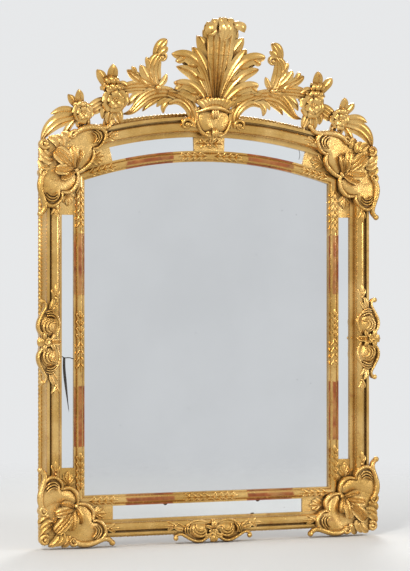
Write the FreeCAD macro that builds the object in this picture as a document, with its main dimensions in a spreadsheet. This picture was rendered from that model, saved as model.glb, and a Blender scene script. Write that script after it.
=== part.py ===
import FreeCAD
import Part
import Sketcher
import math
import os
from types import SimpleNamespace

# Carved giltwood wall mirror: an arched plate inside a border of mirror strips, with carved corners,
# cartouches and an openwork crest of leaves and flowers. Millimetres, +Z up, front towards -Y.
# The back of the carcass lies on y = 0 and the origin is the middle of the bottom rail's back.

SIZES = {
    # The arched plate, as seen inside the inner moulding
    "plate_width": 791.0,
    "plate_side": 934.0,
    "plate_rise": 62.0,
    "plate_thickness": 4.0,
    "plate_cover": 7.0,
    "plate_rebate": 8.0,
    # The border of narrow mirror strips
    "strip_side_width": 38.0,
    "strip_end_width": 41.0,
    "strip_thickness": 3.5,
    "strip_cover": 3.5,
    "strip_play": 0.5,
    "strip_side_base": 84.0,
    "strip_side_length": 747.0,
    "strip_bottom_length": 614.0,
    "strip_top_gap": 100.0,
    "strip_top_reach": 318.0,
    # The mouldings on either side of the strips
    "inner_width": 33.0,
    "inner_height": 18.0,
    "outer_side_width": 53.0,
    "outer_bottom_width": 43.0,
    "outer_top_width": 60.0,
    "outer_height": 40.0,
    "panel_thickness": 8.0,
    # The oak carcass with its pinned laps, and the boards behind the plate
    "carcass_thickness": 25.0,
    "carcass_lap": 70.0,
    "pin_radius": 5.0,
    "pin_play": 0.05,
    "board_thickness": 9.0,
    "board_lap": 16.0,
    "board_play": 0.6,
    "nail_radius": 1.3,
    "nail_head_radius": 3.0,
    "nail_head_depth": 1.2,
    "nail_length": 20.0,
    "block_length": 60.0,
    "block_width": 12.0,
    # The carved corners and cartouches
    "corner_reach": 205.0,
    "corner_depth": 46.0,
    "corner_leaf_depth": 58.0,
    "cartouche_reach": 118.0,
    "cartouche_depth": 48.0,
    "cartouche_boss_depth": 58.0,
    "ball_radius": 9.0,
    # The console and the openwork crest, which leans towards the room
    "console_half_width": 52.0,
    "console_top": 30.0,
    "console_drop": 66.0,
    "console_depth": 66.0,
    "crest_half_width": 540.0,
    "crest_height": 300.0,
    "crest_lean": 13.5,
    "crest_foot_depth": 58.0,
    "crest_thickness": 24.0,
    "crest_relief": 10.0,
    "flower_radius": 40.0,
    "curl_radius": 22.0,
    "curl_half_width": 62.0,
    # The oak brace behind the crest, its screws and the pins of the flower sprays
    "brace_width": 44.0,
    "brace_thickness": 15.0,
    "brace_margin": 14.0,
    "brace_rise": 170.0,
    "screw_radius": 2.2,
    "screw_head_radius": 4.5,
    "screw_head_depth": 2.5,
    "strap_screw_length": 19.0,
    "brace_screw_length": 22.0,
    "spray_pin_radius": 2.5,
    "spray_pin_sink": 14.0,
    # The two iron hangers on the back
    "hanger_drop": 130.0,
    "strap_width": 22.0,
    "strap_length": 66.0,
    "strap_thickness": 2.5,
    "strap_hole_radius": 2.5,
    "eye_radius": 5.7,
    "ring_wire_radius": 3.0,
    "ring_radius": 24.0,
    "ring_play": 0.5,
    # How far a cutting shape runs past what it cuts
    "overrun": 20.0,
}

# Mouldings: shares of the moulding's width across, and of its height above the carcass
INNER_LIP_SHARE = 0.45
INNER_FILLET_SHARE = 0.13
INNER_SWELL_SHARES = ((0.48, 1.0), (0.85, 0.5))
OUTER_LIP_SHARES = ((0.0, 0.26), (0.24, 0.30), (0.24, 0.42))
OUTER_TORUS_SHARES = ((0.52, 1.0), (0.79, 0.70))
OUTER_GROOVE_SHARES = ((0.85, 0.70), (0.85, 0.92), (1.0, 0.92))
OUTER_FLANK_SHARES = ((1.02, 0.20), (1.09, -0.20))
OUTER_ROPE_SHARES = ((1.165, -0.27), (1.19, -0.37), (1.165, -0.47), (1.09, -0.54))
CARCASS_COVER_SHARE = 0.77

# Corner carving: shares of the corner's reach, inward from the moulding's outer corner along both sides
CORNER_RIM_SHARES = (
    ((-0.150, -0.030), (-0.105, 0.070)),
    ((-0.165, 0.185), (-0.070, 0.300)),
    ((-0.165, 0.560), (-0.060, 0.840)),
)
CORNER_TIP_SHARES = (-0.085, -0.085)
CORNER_NECK_SHARES = ((-0.085, 0.955), (-0.025, 0.940), (0.040, 0.730))
CORNER_BALL_SHARES = (-0.095, 0.975)
CORNER_INNER_SHARES = (
    ((0.145, 0.625), (0.255, 0.645)),
    ((0.390, 0.700), (0.505, 0.575)),
)
CORNER_ROOT_SHARES = (0.475, 0.475)
CORNER_LEAF_SHARES = ((0.09, 0.47), (0.06, 0.24), (0.10, 0.10))
CORNER_LEAF_WIDTH_SHARE = 0.085
CORNER_SKEW_SHARE = 0.9

# Side and bottom cartouches: shares of their reach, along the moulding and outward from its front edge
CARTOUCHE_KNOB_SHARES = (0.0, 0.19)
CARTOUCHE_OUTER_SHARES = (
    ((0.08, 0.17), (0.12, 0.08)),
    ((0.46, 0.30), (0.84, 0.06)),
)
CARTOUCHE_NECK_SHARES = ((0.93, 0.10), (0.92, 0.0))
CARTOUCHE_INNER_SHARES = (
    ((0.80, -0.06), (0.74, -0.19)),
    ((0.38, -0.40), (0.07, -0.36)),
)
CARTOUCHE_CURL_SHARES = (0.0, -0.30)
CARTOUCHE_BALL_SHARES = (0.985, 0.14)
CARTOUCHE_BOSS_SHARES = ((0.62, 0.02), (0.0, 0.12), (-0.62, 0.02), (0.0, -0.30))

# Crest, right half: shares of its half width across and of its height above the arched moulding
CREST_LEAF_SHARES = {
    "crest_palmette": (
        ((0.000, 0.08), (0.060, 0.72), (0.278, 0.650), 0.13, 4),
        ((0.000, 0.06), (0.110, 0.44), (0.248, 0.350), 0.09, 3),
    ),
    "crest_scroll": (
        ((0.200, 0.205), (0.400, 0.345), (0.513, 0.093), 0.09, 4),
        ((0.245, 0.215), (0.330, 0.190), (0.298, 0.064), 0.05, 2),
    ),
    "crest_branch": (
        ((0.235, 0.225), (0.290, 0.270), (0.350, 0.360), 0.045, 2),
        ((0.320, 0.310), (0.460, 0.540), (0.335, 0.660), 0.085, 3),
        ((0.350, 0.640), (0.385, 0.760), (0.296, 0.788), 0.060, 2),
        ((0.310, 0.300), (0.310, 0.380), (0.296, 0.450), 0.040, 2),
        ((0.310, 0.310), (0.430, 0.420), (0.575, 0.330), 0.085, 3),
        ((0.390, 0.350), (0.430, 0.440), (0.463, 0.525), 0.050, 2),
        ((0.440, 0.350), (0.490, 0.420), (0.526, 0.511), 0.050, 2),
    ),
    "crest_flower_inner": (
        ((0.600, 0.310), (0.590, 0.460), (0.606, 0.617), 0.065, 3),
        ((0.610, 0.330), (0.650, 0.480), (0.693, 0.605), 0.060, 3),
        ((0.600, 0.270), (0.615, 0.150), (0.609, 0.032), 0.055, 2),
        ((0.590, 0.270), (0.560, 0.150), (0.546, 0.029), 0.050, 2),
    ),
    "crest_flower_outer": (
        ((0.760, 0.230), (0.700, 0.280), (0.640, 0.245), 0.065, 2),
        ((0.770, 0.250), (0.765, 0.350), (0.780, 0.452), 0.045, 2),
        ((0.775, 0.250), (0.800, 0.360), (0.844, 0.435), 0.045, 2),
        ((0.780, 0.230), (0.850, 0.300), (0.940, 0.317), 0.050, 3),
        ((0.770, 0.200), (0.900, 0.230), (0.985, 0.080), 0.060, 3),
    ),
}
LEAF_NOTCH_SHARE = 0.72
LEAF_CROWN_SHARE = 0.55
LEAF_ROOT_SHARE = 0.14
PALMETTE_FAN_SHARES = ((0.030, 0.02), (0.076, 0.635))
PALMETTE_LOBE_SHARES = ((0.105, 0.70), (0.132, 0.80), (0.090, 0.845))
PALMETTE_TOP_SHARE = 0.93
PALMETTE_RELIEF_SHARE = 1.5
SCROLL_CENTRE_SHARES = (0.230, 0.008)
SCROLL_RADIUS_SHARE = 0.20
SCROLL_BAND_SHARE = 0.032
SCROLL_TURN = (75.0, 215.0)
SCROLL_VOLUTE_SHARES = (0.156, -0.062)
SCROLL_VOLUTE_RADIUS_SHARE = 0.052
BRANCH_EYE_SHARES = (0.326, 0.621)
BRANCH_EYE_RADIUS_SHARE = 0.048
FLOWER_INNER_SHARES = (0.593, 0.291)
FLOWER_OUTER_SHARES = (0.767, 0.238)
FLOWER_OUTER_SIZE_SHARE = 0.78
FLOWER_PETALS = 5
FLOWER_PETAL_WIDTH_SHARE = 0.36
FLOWER_EYE_SHARE = 0.36
PETAL_WIDEST_SHARE = 0.6
CURL_DROOP_SHARES = ((-0.62, 0.26), (0.0, 0.34), (0.62, 0.26))
CURL_DROOP_LENGTH_SHARE = 1.7
CONSOLE_SIDE_SHARES = (((1.04, 0.72), (0.86, 0.42)), ((0.50, 0.30), (0.24, 0.0)))
SPRAY_PIN_SHARES = (0.600, 0.842)

BOARD_COUNT = 4
BLOCK_PLACE_SHARES = (0.18, 0.5, 0.82)
NAIL_PLACE_SHARES = (0.25, 0.75)
PIN_PLACE_SHARES = (0.28, 0.72)
STRAP_HOLE_SHARES = (0.58, 0.86)
BRACE_SCREW_SHARES = (0.25, 0.75)


class Formula:
    """A length kept both as a number and as the text of an expression over the sheet's cells."""

    def __init__(self, text, value):
        self.text = text
        self.value = value

    def __add__(self, other):
        other = as_formula(other)
        return Formula(f"({self.text} + {other.text})", self.value + other.value)

    def __sub__(self, other):
        other = as_formula(other)
        return Formula(f"({self.text} - {other.text})", self.value - other.value)

    def __mul__(self, other):
        other = as_formula(other)
        return Formula(f"({self.text} * {other.text})", self.value * other.value)

    def __truediv__(self, other):
        other = as_formula(other)
        return Formula(f"({self.text} / {other.text})", self.value / other.value)

    def __neg__(self):
        return Formula(f"(-1 * {self.text})", -self.value)

    __rmul__ = __mul__
    __radd__ = __add__

    def root(self):
        return Formula(f"sqrt({self.text})", math.sqrt(self.value))


def as_formula(thing):
    return thing if isinstance(thing, Formula) else Formula(repr(thing), float(thing))


def fill_sheet():
    sheet = doc.addObject("Spreadsheet::Sheet", "Sizes")
    for row, (name, value) in enumerate(SIZES.items(), start=1):
        sheet.set(f"A{row}", name)
        sheet.set(f"B{row}", str(value))
        sheet.setAlias(f"B{row}", name)
    doc.recompute()
    return SimpleNamespace(**{name: Formula(f"Sizes.{name}", float(sheet.get(name))) for name in SIZES})


doc = FreeCAD.newDocument("GiltMirror")
size = fill_sheet()
nothing = as_formula(0)
subparts = {}

# Lines that the pieces share: widths across the front, heights, and radii about the arch's centre
plate_x = size.plate_width / 2
strip_in_x = plate_x + size.inner_width
strip_out_x = strip_in_x + size.strip_side_width
outer_x = strip_out_x + size.outer_side_width
open_x = plate_x + size.plate_rebate
carcass_x = strip_out_x + CARCASS_COVER_SHARE * size.outer_side_width

bottom_cover = CARCASS_COVER_SHARE * size.outer_bottom_width
plate_z = (size.plate_rebate + size.inner_width + size.strip_end_width + bottom_cover) / 2
strip_in_z = plate_z - size.inner_width
strip_out_z = strip_in_z - size.strip_end_width
outer_z = strip_out_z - size.outer_bottom_width
open_z = plate_z - size.plate_rebate
carcass_z = strip_out_z - bottom_cover
spring_z = plate_z + size.plate_side

plate_r = (plate_x * plate_x + size.plate_rise * size.plate_rise) / (2 * size.plate_rise)
arch_z = spring_z + size.plate_rise - plate_r
strip_in_r = plate_r + size.inner_width
strip_out_r = strip_in_r + size.strip_end_width
outer_r = strip_out_r + size.outer_top_width
open_r = plate_r + size.plate_rebate
carcass_r = strip_out_r + CARCASS_COVER_SHARE * size.outer_top_width

front = size.carcass_thickness
lap_top_z = arch_z + (open_r * open_r - open_x * open_x).root()
lap_low_z = lap_top_z - size.carcass_lap
board_x = open_x + size.board_lap
board_z = open_z - size.board_lap
board_r = open_r + size.board_lap
strip_low_z = plate_z + size.strip_side_base
strip_high_z = strip_low_z + size.strip_side_length
rebate_width = size.strip_cover + size.strip_play
rebate_height = size.strip_thickness + size.strip_play


def on_arch(radius, x):
    """The point of an arch of that radius straight above x."""
    return (x, arch_z + (radius * radius - x * x).root())


def on_spoke(radius, x):
    """The point at that radius on the spoke that crosses the strips' outer radius at x."""
    lean = x / strip_out_r
    return (radius * lean, arch_z + radius * (as_formula(1) - lean * lean).root())


def bind(thing, path, formula):
    thing.setExpression(path, formula.text)


def new_body(label):
    body = doc.addObject("PartDesign::Body", label)
    subparts[label] = body
    return body


def new_sketch(body, role, lift=nothing):
    """A sketch on one of the body's origin planes, lifted along the plane's normal."""
    plane = next(part for part in body.Origin.OriginFeatures if part.Role == role)
    sketch = body.newObject("Sketcher::SketchObject", f"{body.Name}_outline")
    sketch.AttachmentSupport = [(plane, "")]
    sketch.MapMode = "FlatFace"
    bind(sketch, "AttachmentOffset.Base.z", lift)
    return sketch


def flat(point):
    return FreeCAD.Vector(point[0].value, point[1].value, 0)


def pin_point(sketch, shape, end, point):
    """Hold one point of the sketch at a place given by two formulas."""
    axes = (("DistanceX", -2, point[0]), ("DistanceY", -1, point[1]))
    for kind, axis, formula in axes:
        if formula.value == 0:
            sketch.addConstraint(Sketcher.Constraint("PointOnObject", shape, end, axis))
            continue
        ends = (-1, 1, shape, end) if formula.value > 0 else (shape, end, -1, 1)
        length = formula if formula.value > 0 else -formula
        index = sketch.addConstraint(Sketcher.Constraint(kind, *ends, length.value))
        bind(sketch, f"Constraints[{index}]", length)


def draw(sketch, start, *steps):
    """Closed outline: a step of one point is a straight side, one of two an arc through the first."""
    corners = [start] + [step[-1] for step in steps]
    sides = []
    for corner, step in zip(corners, steps):
        begin, finish = flat(corner), flat(step[-1])
        if len(step) == 1:
            shape = sketch.addGeometry(Part.LineSegment(begin, finish))
            sides.append((shape, 1, 2))
            continue
        shape = sketch.addGeometry(Part.Arc(begin, flat(step[0]), finish))
        ends = sorted((1, 2), key=lambda end: sketch.getPoint(shape, end).distanceToPoint(begin))
        sides.append((shape, *ends))
        mark = sketch.addGeometry(Part.Point(flat(step[0])), True)
        pin_point(sketch, mark, 1, step[0])
        sketch.addConstraint(Sketcher.Constraint("PointOnObject", mark, 1, shape))
    for index, (shape, begin, _) in enumerate(sides):
        before = sides[index - 1]
        sketch.addConstraint(Sketcher.Constraint("Coincident", before[0], before[2], shape, begin))
        pin_point(sketch, shape, begin, corners[index])


def draw_box(sketch, low, high):
    """A rectangle between two opposite corners."""
    draw(sketch, low, ((high[0], low[1]),), (high,), ((low[0], high[1]),), (low,))


def draw_circle(sketch, centre, radius):
    shape = sketch.addGeometry(Part.Circle(flat(centre), FreeCAD.Vector(0, 0, 1), radius.value))
    pin_point(sketch, shape, 3, centre)
    index = sketch.addConstraint(Sketcher.Constraint("Radius", shape, radius.value))
    bind(sketch, f"Constraints[{index}]", radius)


def pad(body, sketch, length, symmetric=False):
    feature = body.newObject("PartDesign::Pad", f"{body.Name}_pad")
    feature.Profile = sketch
    feature.SideType = "Symmetric" if symmetric else "One side"
    bind(feature, "Length", length)
    doc.recompute()


def pocket(body, sketch, depth=None, forward=False):
    """Cut the sketch's outline, backwards through everything or to a depth; forward cuts to the front."""
    before = body.Shape.Volume
    feature = body.newObject("PartDesign::Pocket", f"{body.Name}_pocket")
    feature.Profile = sketch
    feature.Reversed = forward
    if depth is None:
        feature.Type = "ThroughAll"
    else:
        bind(feature, "Length", depth)
    doc.recompute()
    if not body.Shape.Volume < before:
        raise RuntimeError(f"{body.Label}: a pocket removed nothing")


def revolve(body, sketch, angle):
    feature = body.newObject("PartDesign::Revolution", f"{body.Name}_turn")
    feature.Profile = sketch
    feature.ReferenceAxis = (sketch, ["H_Axis"])
    feature.Midplane = True
    bind(feature, "Angle", angle)
    doc.recompute()


def mirrored(side, point):
    return (side * point[0], point[1])


# The carcass: two stiles and two rails, halved together at the corners and pinned

def lap_pins():
    """Pin places in the right-hand laps: two at the bottom corner, two at the top."""
    across = carcass_x - open_x
    low, high = PIN_PLACE_SHARES
    bottom_span = open_z - carcass_z
    return [
        (open_x + low * across, carcass_z + high * bottom_span),
        (open_x + high * across, carcass_z + low * bottom_span),
        (open_x + low * across, lap_low_z + low * size.carcass_lap),
        (open_x + high * across, lap_low_z + high * size.carcass_lap),
    ]


def make_stile(label, side):
    body = new_body(label)
    blank = new_sketch(body, "XZ_Plane")
    draw_box(blank, (side * open_x, carcass_z), (side * carcass_x, lap_top_z))
    pad(body, blank, front)
    laps = new_sketch(body, "XZ_Plane", front)
    draw_box(laps, (side * open_x, carcass_z), (side * carcass_x, open_z))
    draw_box(laps, (side * open_x, lap_low_z), (side * carcass_x, lap_top_z))
    pocket(body, laps, front / 2)
    rebate = new_sketch(body, "XZ_Plane")
    draw_box(rebate, (side * open_x, board_z), (side * board_x, lap_top_z))
    pocket(body, rebate, size.board_thickness, forward=True)
    holes = new_sketch(body, "XZ_Plane", front)
    for place in lap_pins():
        draw_circle(holes, mirrored(side, place), size.pin_radius + size.pin_play)
    pocket(body, holes)


def make_bottom_rail():
    body = new_body("rail_bottom")
    blank = new_sketch(body, "XZ_Plane")
    draw_box(blank, (-carcass_x, carcass_z), (carcass_x, open_z))
    pad(body, blank, front)
    laps = new_sketch(body, "XZ_Plane")
    rebate = new_sketch(body, "XZ_Plane")
    holes = new_sketch(body, "XZ_Plane", front)
    for side in (1, -1):
        draw_box(laps, (side * open_x, carcass_z), (side * carcass_x, open_z))
        for place in lap_pins()[:2]:
            draw_circle(holes, mirrored(side, place), size.pin_radius + size.pin_play)
    draw_box(rebate, (-open_x, board_z), (open_x, open_z))
    pocket(body, laps, front / 2, forward=True)
    pocket(body, rebate, size.board_thickness, forward=True)
    pocket(body, holes)


def make_top_rail():
    body = new_body("rail_top")
    blank = new_sketch(body, "XZ_Plane")
    shoulder = on_arch(carcass_r, carcass_x)
    draw(
        blank,
        (-carcass_x, lap_low_z),
        (mirrored(-1, shoulder),),
        ((nothing, arch_z + carcass_r), shoulder),
        ((carcass_x, lap_low_z),),
        ((open_x, lap_low_z),),
        ((open_x, lap_top_z),),
        ((nothing, arch_z + open_r), (-open_x, lap_top_z)),
        ((-open_x, lap_low_z),),
        ((-carcass_x, lap_low_z),),
    )
    pad(body, blank, front)
    laps = new_sketch(body, "XZ_Plane")
    holes = new_sketch(body, "XZ_Plane", front)
    for side in (1, -1):
        draw_box(laps, (side * open_x, lap_low_z), (side * carcass_x, lap_top_z))
        for place in lap_pins()[2:]:
            draw_circle(holes, mirrored(side, place), size.pin_radius + size.pin_play)
    pocket(body, laps, front / 2, forward=True)
    pocket(body, holes)
    rebate = new_sketch(body, "XZ_Plane")
    corner = on_arch(board_r, board_x)
    draw(
        rebate,
        (-board_x, lap_top_z),
        (mirrored(-1, corner),),
        ((nothing, arch_z + board_r), corner),
        ((board_x, lap_top_z),),
        ((open_x, lap_top_z),),
        ((nothing, arch_z + open_r), (-open_x, lap_top_z)),
        ((-board_x, lap_top_z),),
    )
    pocket(body, rebate, size.board_thickness, forward=True)
    slot = new_sketch(body, "XZ_Plane")
    draw_box(slot, (-size.brace_width / 2, brace_foot_z), (size.brace_width / 2, arch_z + outer_r))
    pocket(body, slot, size.brace_thickness, forward=True)


# Mouldings: one section for each, padded along the straight sides and turned about the arch's centre

def inner_section(width):
    """Inner moulding's section as steps of (across, above the carcass), from the plate outwards."""
    tall = size.inner_height
    swell, heel = [(across * width, above * tall) for across, above in INNER_SWELL_SHARES]
    lip = INNER_LIP_SHARE * tall
    return [
        ((nothing, nothing),),
        ((nothing, lip),),
        ((INNER_FILLET_SHARE * width, lip),),
        (swell, heel),
        ((width, heel[1]),),
        ((width, rebate_height),),
        ((width - rebate_width, rebate_height),),
        ((width - rebate_width, nothing),),
    ]


def outer_section(width):
    """Outer moulding's section, from the strips outwards and down its flank to the rope bead at the back."""
    tall = size.outer_height
    named = (OUTER_LIP_SHARES, OUTER_TORUS_SHARES, OUTER_GROOVE_SHARES, OUTER_FLANK_SHARES, OUTER_ROPE_SHARES)
    lip, torus, groove, flank, rope = [[(a * width, b * tall) for a, b in shares] for shares in named]
    return [
        ((rebate_width, nothing),),
        ((rebate_width, rebate_height),),
        ((nothing, rebate_height),),
        *[(point,) for point in lip],
        tuple(torus),
        *[(point,) for point in groove],
        tuple(flank),
        tuple(rope[:2]),
        tuple(rope[2:]),
        ((CARCASS_COVER_SHARE * width, rope[-1][1]),),
        ((CARCASS_COVER_SHARE * width, nothing),),
    ]


def draw_section(sketch, section, place):
    steps = [tuple(place(across, above) for across, above in step) for step in section]
    draw(sketch, steps[0][0], *steps[1:], steps[0])


def cut_mitre(body, inner, outer, away):
    """Cut the moulding's end off along the line from the inner to the outer corner."""
    reach_x = outer[0] - inner[0]
    reach_z = outer[1] - inner[1]
    near = (inner[0] - 2 * reach_x, inner[1] - 2 * reach_z)
    far = (outer[0] + 2 * reach_x, outer[1] + 2 * reach_z)
    sketch = new_sketch(body, "XZ_Plane", front + size.outer_height + size.overrun)
    far_off = (far[0] + away[0], far[1] + away[1])
    near_off = (near[0] + away[0], near[1] + away[1])
    draw(sketch, near, (far,), (far_off,), (near_off,), (near,))
    pocket(body, sketch)


def make_upright(label, side, section, start_x, low, high):
    """A straight side moulding between its bottom and top corners, each an inner and an outer point."""
    body = new_body(label)
    run = 2 * (low[1][0] - low[0][0]) + size.overrun
    base = low[1][1] - run
    profile = new_sketch(body, "XY_Plane", base)
    draw_section(profile, section, lambda across, above: (side * (start_x + across), -(front + above)))
    pad(body, profile, high[1][1] + run - base)
    for corner, away in ((low, -3 * run), (high, 3 * run)):
        cut_mitre(body, mirrored(side, corner[0]), mirrored(side, corner[1]), (nothing, away))


def make_bottom_moulding(label, section, start_z, corner):
    body = new_body(label)
    run = 2 * (corner[1][0] - corner[0][0]) + size.overrun
    profile = new_sketch(body, "YZ_Plane")
    draw_section(profile, section, lambda across, above: (-(front + above), start_z - across))
    pad(body, profile, 2 * (corner[1][0] + run), symmetric=True)
    for side in (1, -1):
        cut_mitre(body, mirrored(side, corner[0]), mirrored(side, corner[1]), (side * 3 * run, nothing))


def make_arch_moulding(label, section, radius, corner):
    body = new_body(label)
    run = (corner[1][0] - corner[0][0]) / 2 + size.overrun
    profile = new_sketch(body, "YZ_Plane")
    bind(profile, "AttachmentOffset.Base.y", arch_z)
    draw_section(profile, section, lambda across, above: (-(front + above), radius + across))
    sweep = (corner[1][0] + run) / radius
    revolve(body, profile, Formula(f"(2 * asin({sweep.text}))", 2 * math.degrees(math.asin(sweep.value))))
    for side in (1, -1):
        cut_mitre(body, mirrored(side, corner[0]), mirrored(side, corner[1]), (side * 6 * run, nothing))
    return body


inner_low = ((plate_x, plate_z), (strip_in_x, strip_in_z))
inner_high = ((plate_x, spring_z), on_arch(strip_in_r, strip_in_x))
outer_low = ((strip_out_x, strip_out_z), (outer_x, outer_z))
outer_high = (on_arch(strip_out_r, strip_out_x), on_arch(outer_r, outer_x))
brace_foot_z = arch_z + board_r + size.brace_margin


def make_mouldings():
    for name, side in (("left", -1), ("right", 1)):
        section = inner_section(size.inner_width)
        make_upright(f"inner_moulding_{name}", side, section, plate_x, inner_low, inner_high)
        section = outer_section(size.outer_side_width)
        make_upright(f"outer_moulding_{name}", side, section, strip_out_x, outer_low, outer_high)
    make_bottom_moulding("inner_moulding_bottom", inner_section(size.inner_width), plate_z, inner_low)
    section = outer_section(size.outer_bottom_width)
    make_bottom_moulding("outer_moulding_bottom", section, strip_out_z, outer_low)
    make_arch_moulding("inner_moulding_top", inner_section(size.inner_width), plate_r, inner_high)
    section = outer_section(size.outer_top_width)
    arch = make_arch_moulding("outer_moulding_top", section, strip_out_r, outer_high)
    slot = new_sketch(arch, "XZ_Plane")
    slot_top = arch_z + outer_r + size.outer_top_width
    draw_box(slot, (-size.brace_width / 2, brace_foot_z), (size.brace_width / 2, slot_top))
    pocket(arch, slot, size.brace_thickness, forward=True)


# Flat pieces on the front: mirror glass and the carved panels between the strips

def make_plate():
    body = new_body("mirror_plate")
    outline = new_sketch(body, "XZ_Plane", front - size.plate_thickness)
    edge_x = plate_x + size.plate_cover
    edge_r = plate_r + size.plate_cover
    shoulder = on_arch(edge_r, edge_x)
    draw(
        outline,
        (-edge_x, open_z),
        ((edge_x, open_z),),
        (shoulder,),
        ((nothing, arch_z + edge_r), mirrored(-1, shoulder)),
        ((-edge_x, open_z),),
    )
    pad(body, outline, size.plate_thickness)


def draw_band(sketch, side, low_r, high_r, near_x, far_x):
    """A piece of an arched band between two spokes on one side of the middle."""
    middle_x = (near_x + far_x) / 2
    spokes = ((low_r, near_x), (high_r, near_x), (high_r, far_x), (low_r, far_x))
    ends = [on_spoke(radius, across) for radius, across in spokes]
    mids = [on_spoke(high_r, middle_x), on_spoke(low_r, middle_x)]
    ends = [mirrored(side, point) for point in ends]
    mids = [mirrored(side, point) for point in mids]
    draw(sketch, ends[0], (ends[1],), (mids[0], ends[2]), (ends[3],), (mids[1], ends[0]))


def make_strips():
    cover = size.strip_cover
    gap_x = size.strip_top_gap / 2
    for name, side in (("left", -1), ("right", 1)):
        body = new_body(f"mirror_strip_{name}")
        outline = new_sketch(body, "XZ_Plane", front)
        near, far = side * (strip_in_x - cover), side * (strip_out_x + cover)
        draw_box(outline, (near, strip_low_z), (far, strip_high_z))
        pad(body, outline, size.strip_thickness)
        body = new_body(f"mirror_strip_top_{name}")
        outline = new_sketch(body, "XZ_Plane", front)
        draw_band(outline, side, strip_in_r - cover, strip_out_r + cover, gap_x, size.strip_top_reach)
        pad(body, outline, size.strip_thickness)
    body = new_body("mirror_strip_bottom")
    outline = new_sketch(body, "XZ_Plane", front)
    half = size.strip_bottom_length / 2
    draw_box(outline, (-half, strip_out_z - cover), (half, strip_in_z + cover))
    pad(body, outline, size.strip_thickness)


def make_panels():
    half = size.strip_bottom_length / 2
    reach = size.strip_top_reach
    for name, side in (("left", -1), ("right", 1)):
        body = new_body(f"corner_panel_bottom_{name}")
        outline = new_sketch(body, "XZ_Plane", front)
        corners = [
            (half, strip_out_z),
            (strip_out_x, strip_out_z),
            (strip_out_x, strip_low_z),
            (strip_in_x, strip_low_z),
            (strip_in_x, strip_in_z),
            (half, strip_in_z),
        ]
        corners = [mirrored(side, corner) for corner in corners]
        draw(outline, corners[0], *[(corner,) for corner in corners[1:]], (corners[0],))
        pad(body, outline, size.panel_thickness)
        body = new_body(f"corner_panel_top_{name}")
        outline = new_sketch(body, "XZ_Plane", front)
        inner, outer = on_arch(strip_in_r, strip_in_x), on_arch(strip_out_r, strip_out_x)
        near, far = on_spoke(strip_in_r, reach), on_spoke(strip_out_r, reach)
        inner_mid = on_arch(strip_in_r, (inner[0] + near[0]) / 2)
        outer_mid = on_arch(strip_out_r, (outer[0] + far[0]) / 2)
        draw(
            outline,
            mirrored(side, (strip_in_x, strip_high_z)),
            (mirrored(side, (strip_out_x, strip_high_z)),),
            (mirrored(side, outer),),
            (mirrored(side, outer_mid), mirrored(side, far)),
            (mirrored(side, near),),
            (mirrored(side, inner_mid), mirrored(side, inner)),
            (mirrored(side, (strip_in_x, strip_high_z)),),
        )
        pad(body, outline, size.panel_thickness)
    body = new_body("keystone_panel")
    outline = new_sketch(body, "XZ_Plane", front)
    near, far = on_spoke(strip_in_r, size.strip_top_gap / 2), on_spoke(strip_out_r, size.strip_top_gap / 2)
    draw(
        outline,
        near,
        (far,),
        ((nothing, arch_z + strip_out_r), mirrored(-1, far)),
        (mirrored(-1, near),),
        ((nothing, arch_z + strip_in_r), near),
    )
    pad(body, outline, size.panel_thickness)


# Behind the plate: boards, nails, the blocks that hold the plate, and the pins of the laps

def place_cylinder(name, radius, height, place, turn):
    cylinder = doc.addObject("Part::Cylinder", name)
    cylinder.Placement = FreeCAD.Placement(FreeCAD.Vector(), turn)
    bind(cylinder, "Radius", radius)
    bind(cylinder, "Height", height)
    for axis, formula in zip("xyz", place):
        bind(cylinder, f"Placement.Base.{axis}", formula)
    return cylinder


def gather(label, pieces):
    group = doc.addObject("Part::Compound", label)
    group.Links = pieces
    subparts[label] = group


to_front = FreeCAD.Rotation(FreeCAD.Vector(1, 0, 0), 90)


def nail_or_screw(name, x, y, z, radius, length, head_radius, head_depth):
    """A fastener driven towards the front, its head flush with y."""
    shank = place_cylinder(f"{name}_shank", radius, length, (x, y, z), to_front)
    head = place_cylinder(f"{name}_head", head_radius, head_depth, (x, y, z), to_front)
    whole = doc.addObject("Part::Fuse", name)
    whole.Base = shank
    whole.Tool = head
    return whole


def board_edges(index):
    """Left and right edge of one board, with play on both sides."""
    width = 2 * board_x / BOARD_COUNT
    left = -board_x + index * width
    return left + size.board_play / 2, left + width - size.board_play / 2


def make_boards():
    low_z = board_z + size.board_play
    top_r = board_r - size.board_play
    nails = []
    for index in range(BOARD_COUNT):
        left, right = board_edges(index)
        body = new_body(f"backboard_{index + 1}")
        outline = new_sketch(body, "XZ_Plane")
        middle = on_arch(top_r, (left + right) / 2)
        draw(
            outline,
            (left, low_z),
            ((right, low_z),),
            (on_arch(top_r, right),),
            (middle, on_arch(top_r, left)),
            ((left, low_z),),
        )
        pad(body, outline, size.board_thickness)
        for share in NAIL_PLACE_SHARES:
            x = left + share * (right - left)
            ends = (open_z - size.board_lap / 2, on_arch(open_r + size.board_lap / 2, x)[1])
            for z in ends:
                name = f"nail_{len(nails) + 1}"
                sizes = (size.nail_radius, size.nail_length, size.nail_head_radius, size.nail_head_depth)
                nails.append(nail_or_screw(name, x, nothing, z, *sizes))
    gather("backboard_nails", nails)


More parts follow.
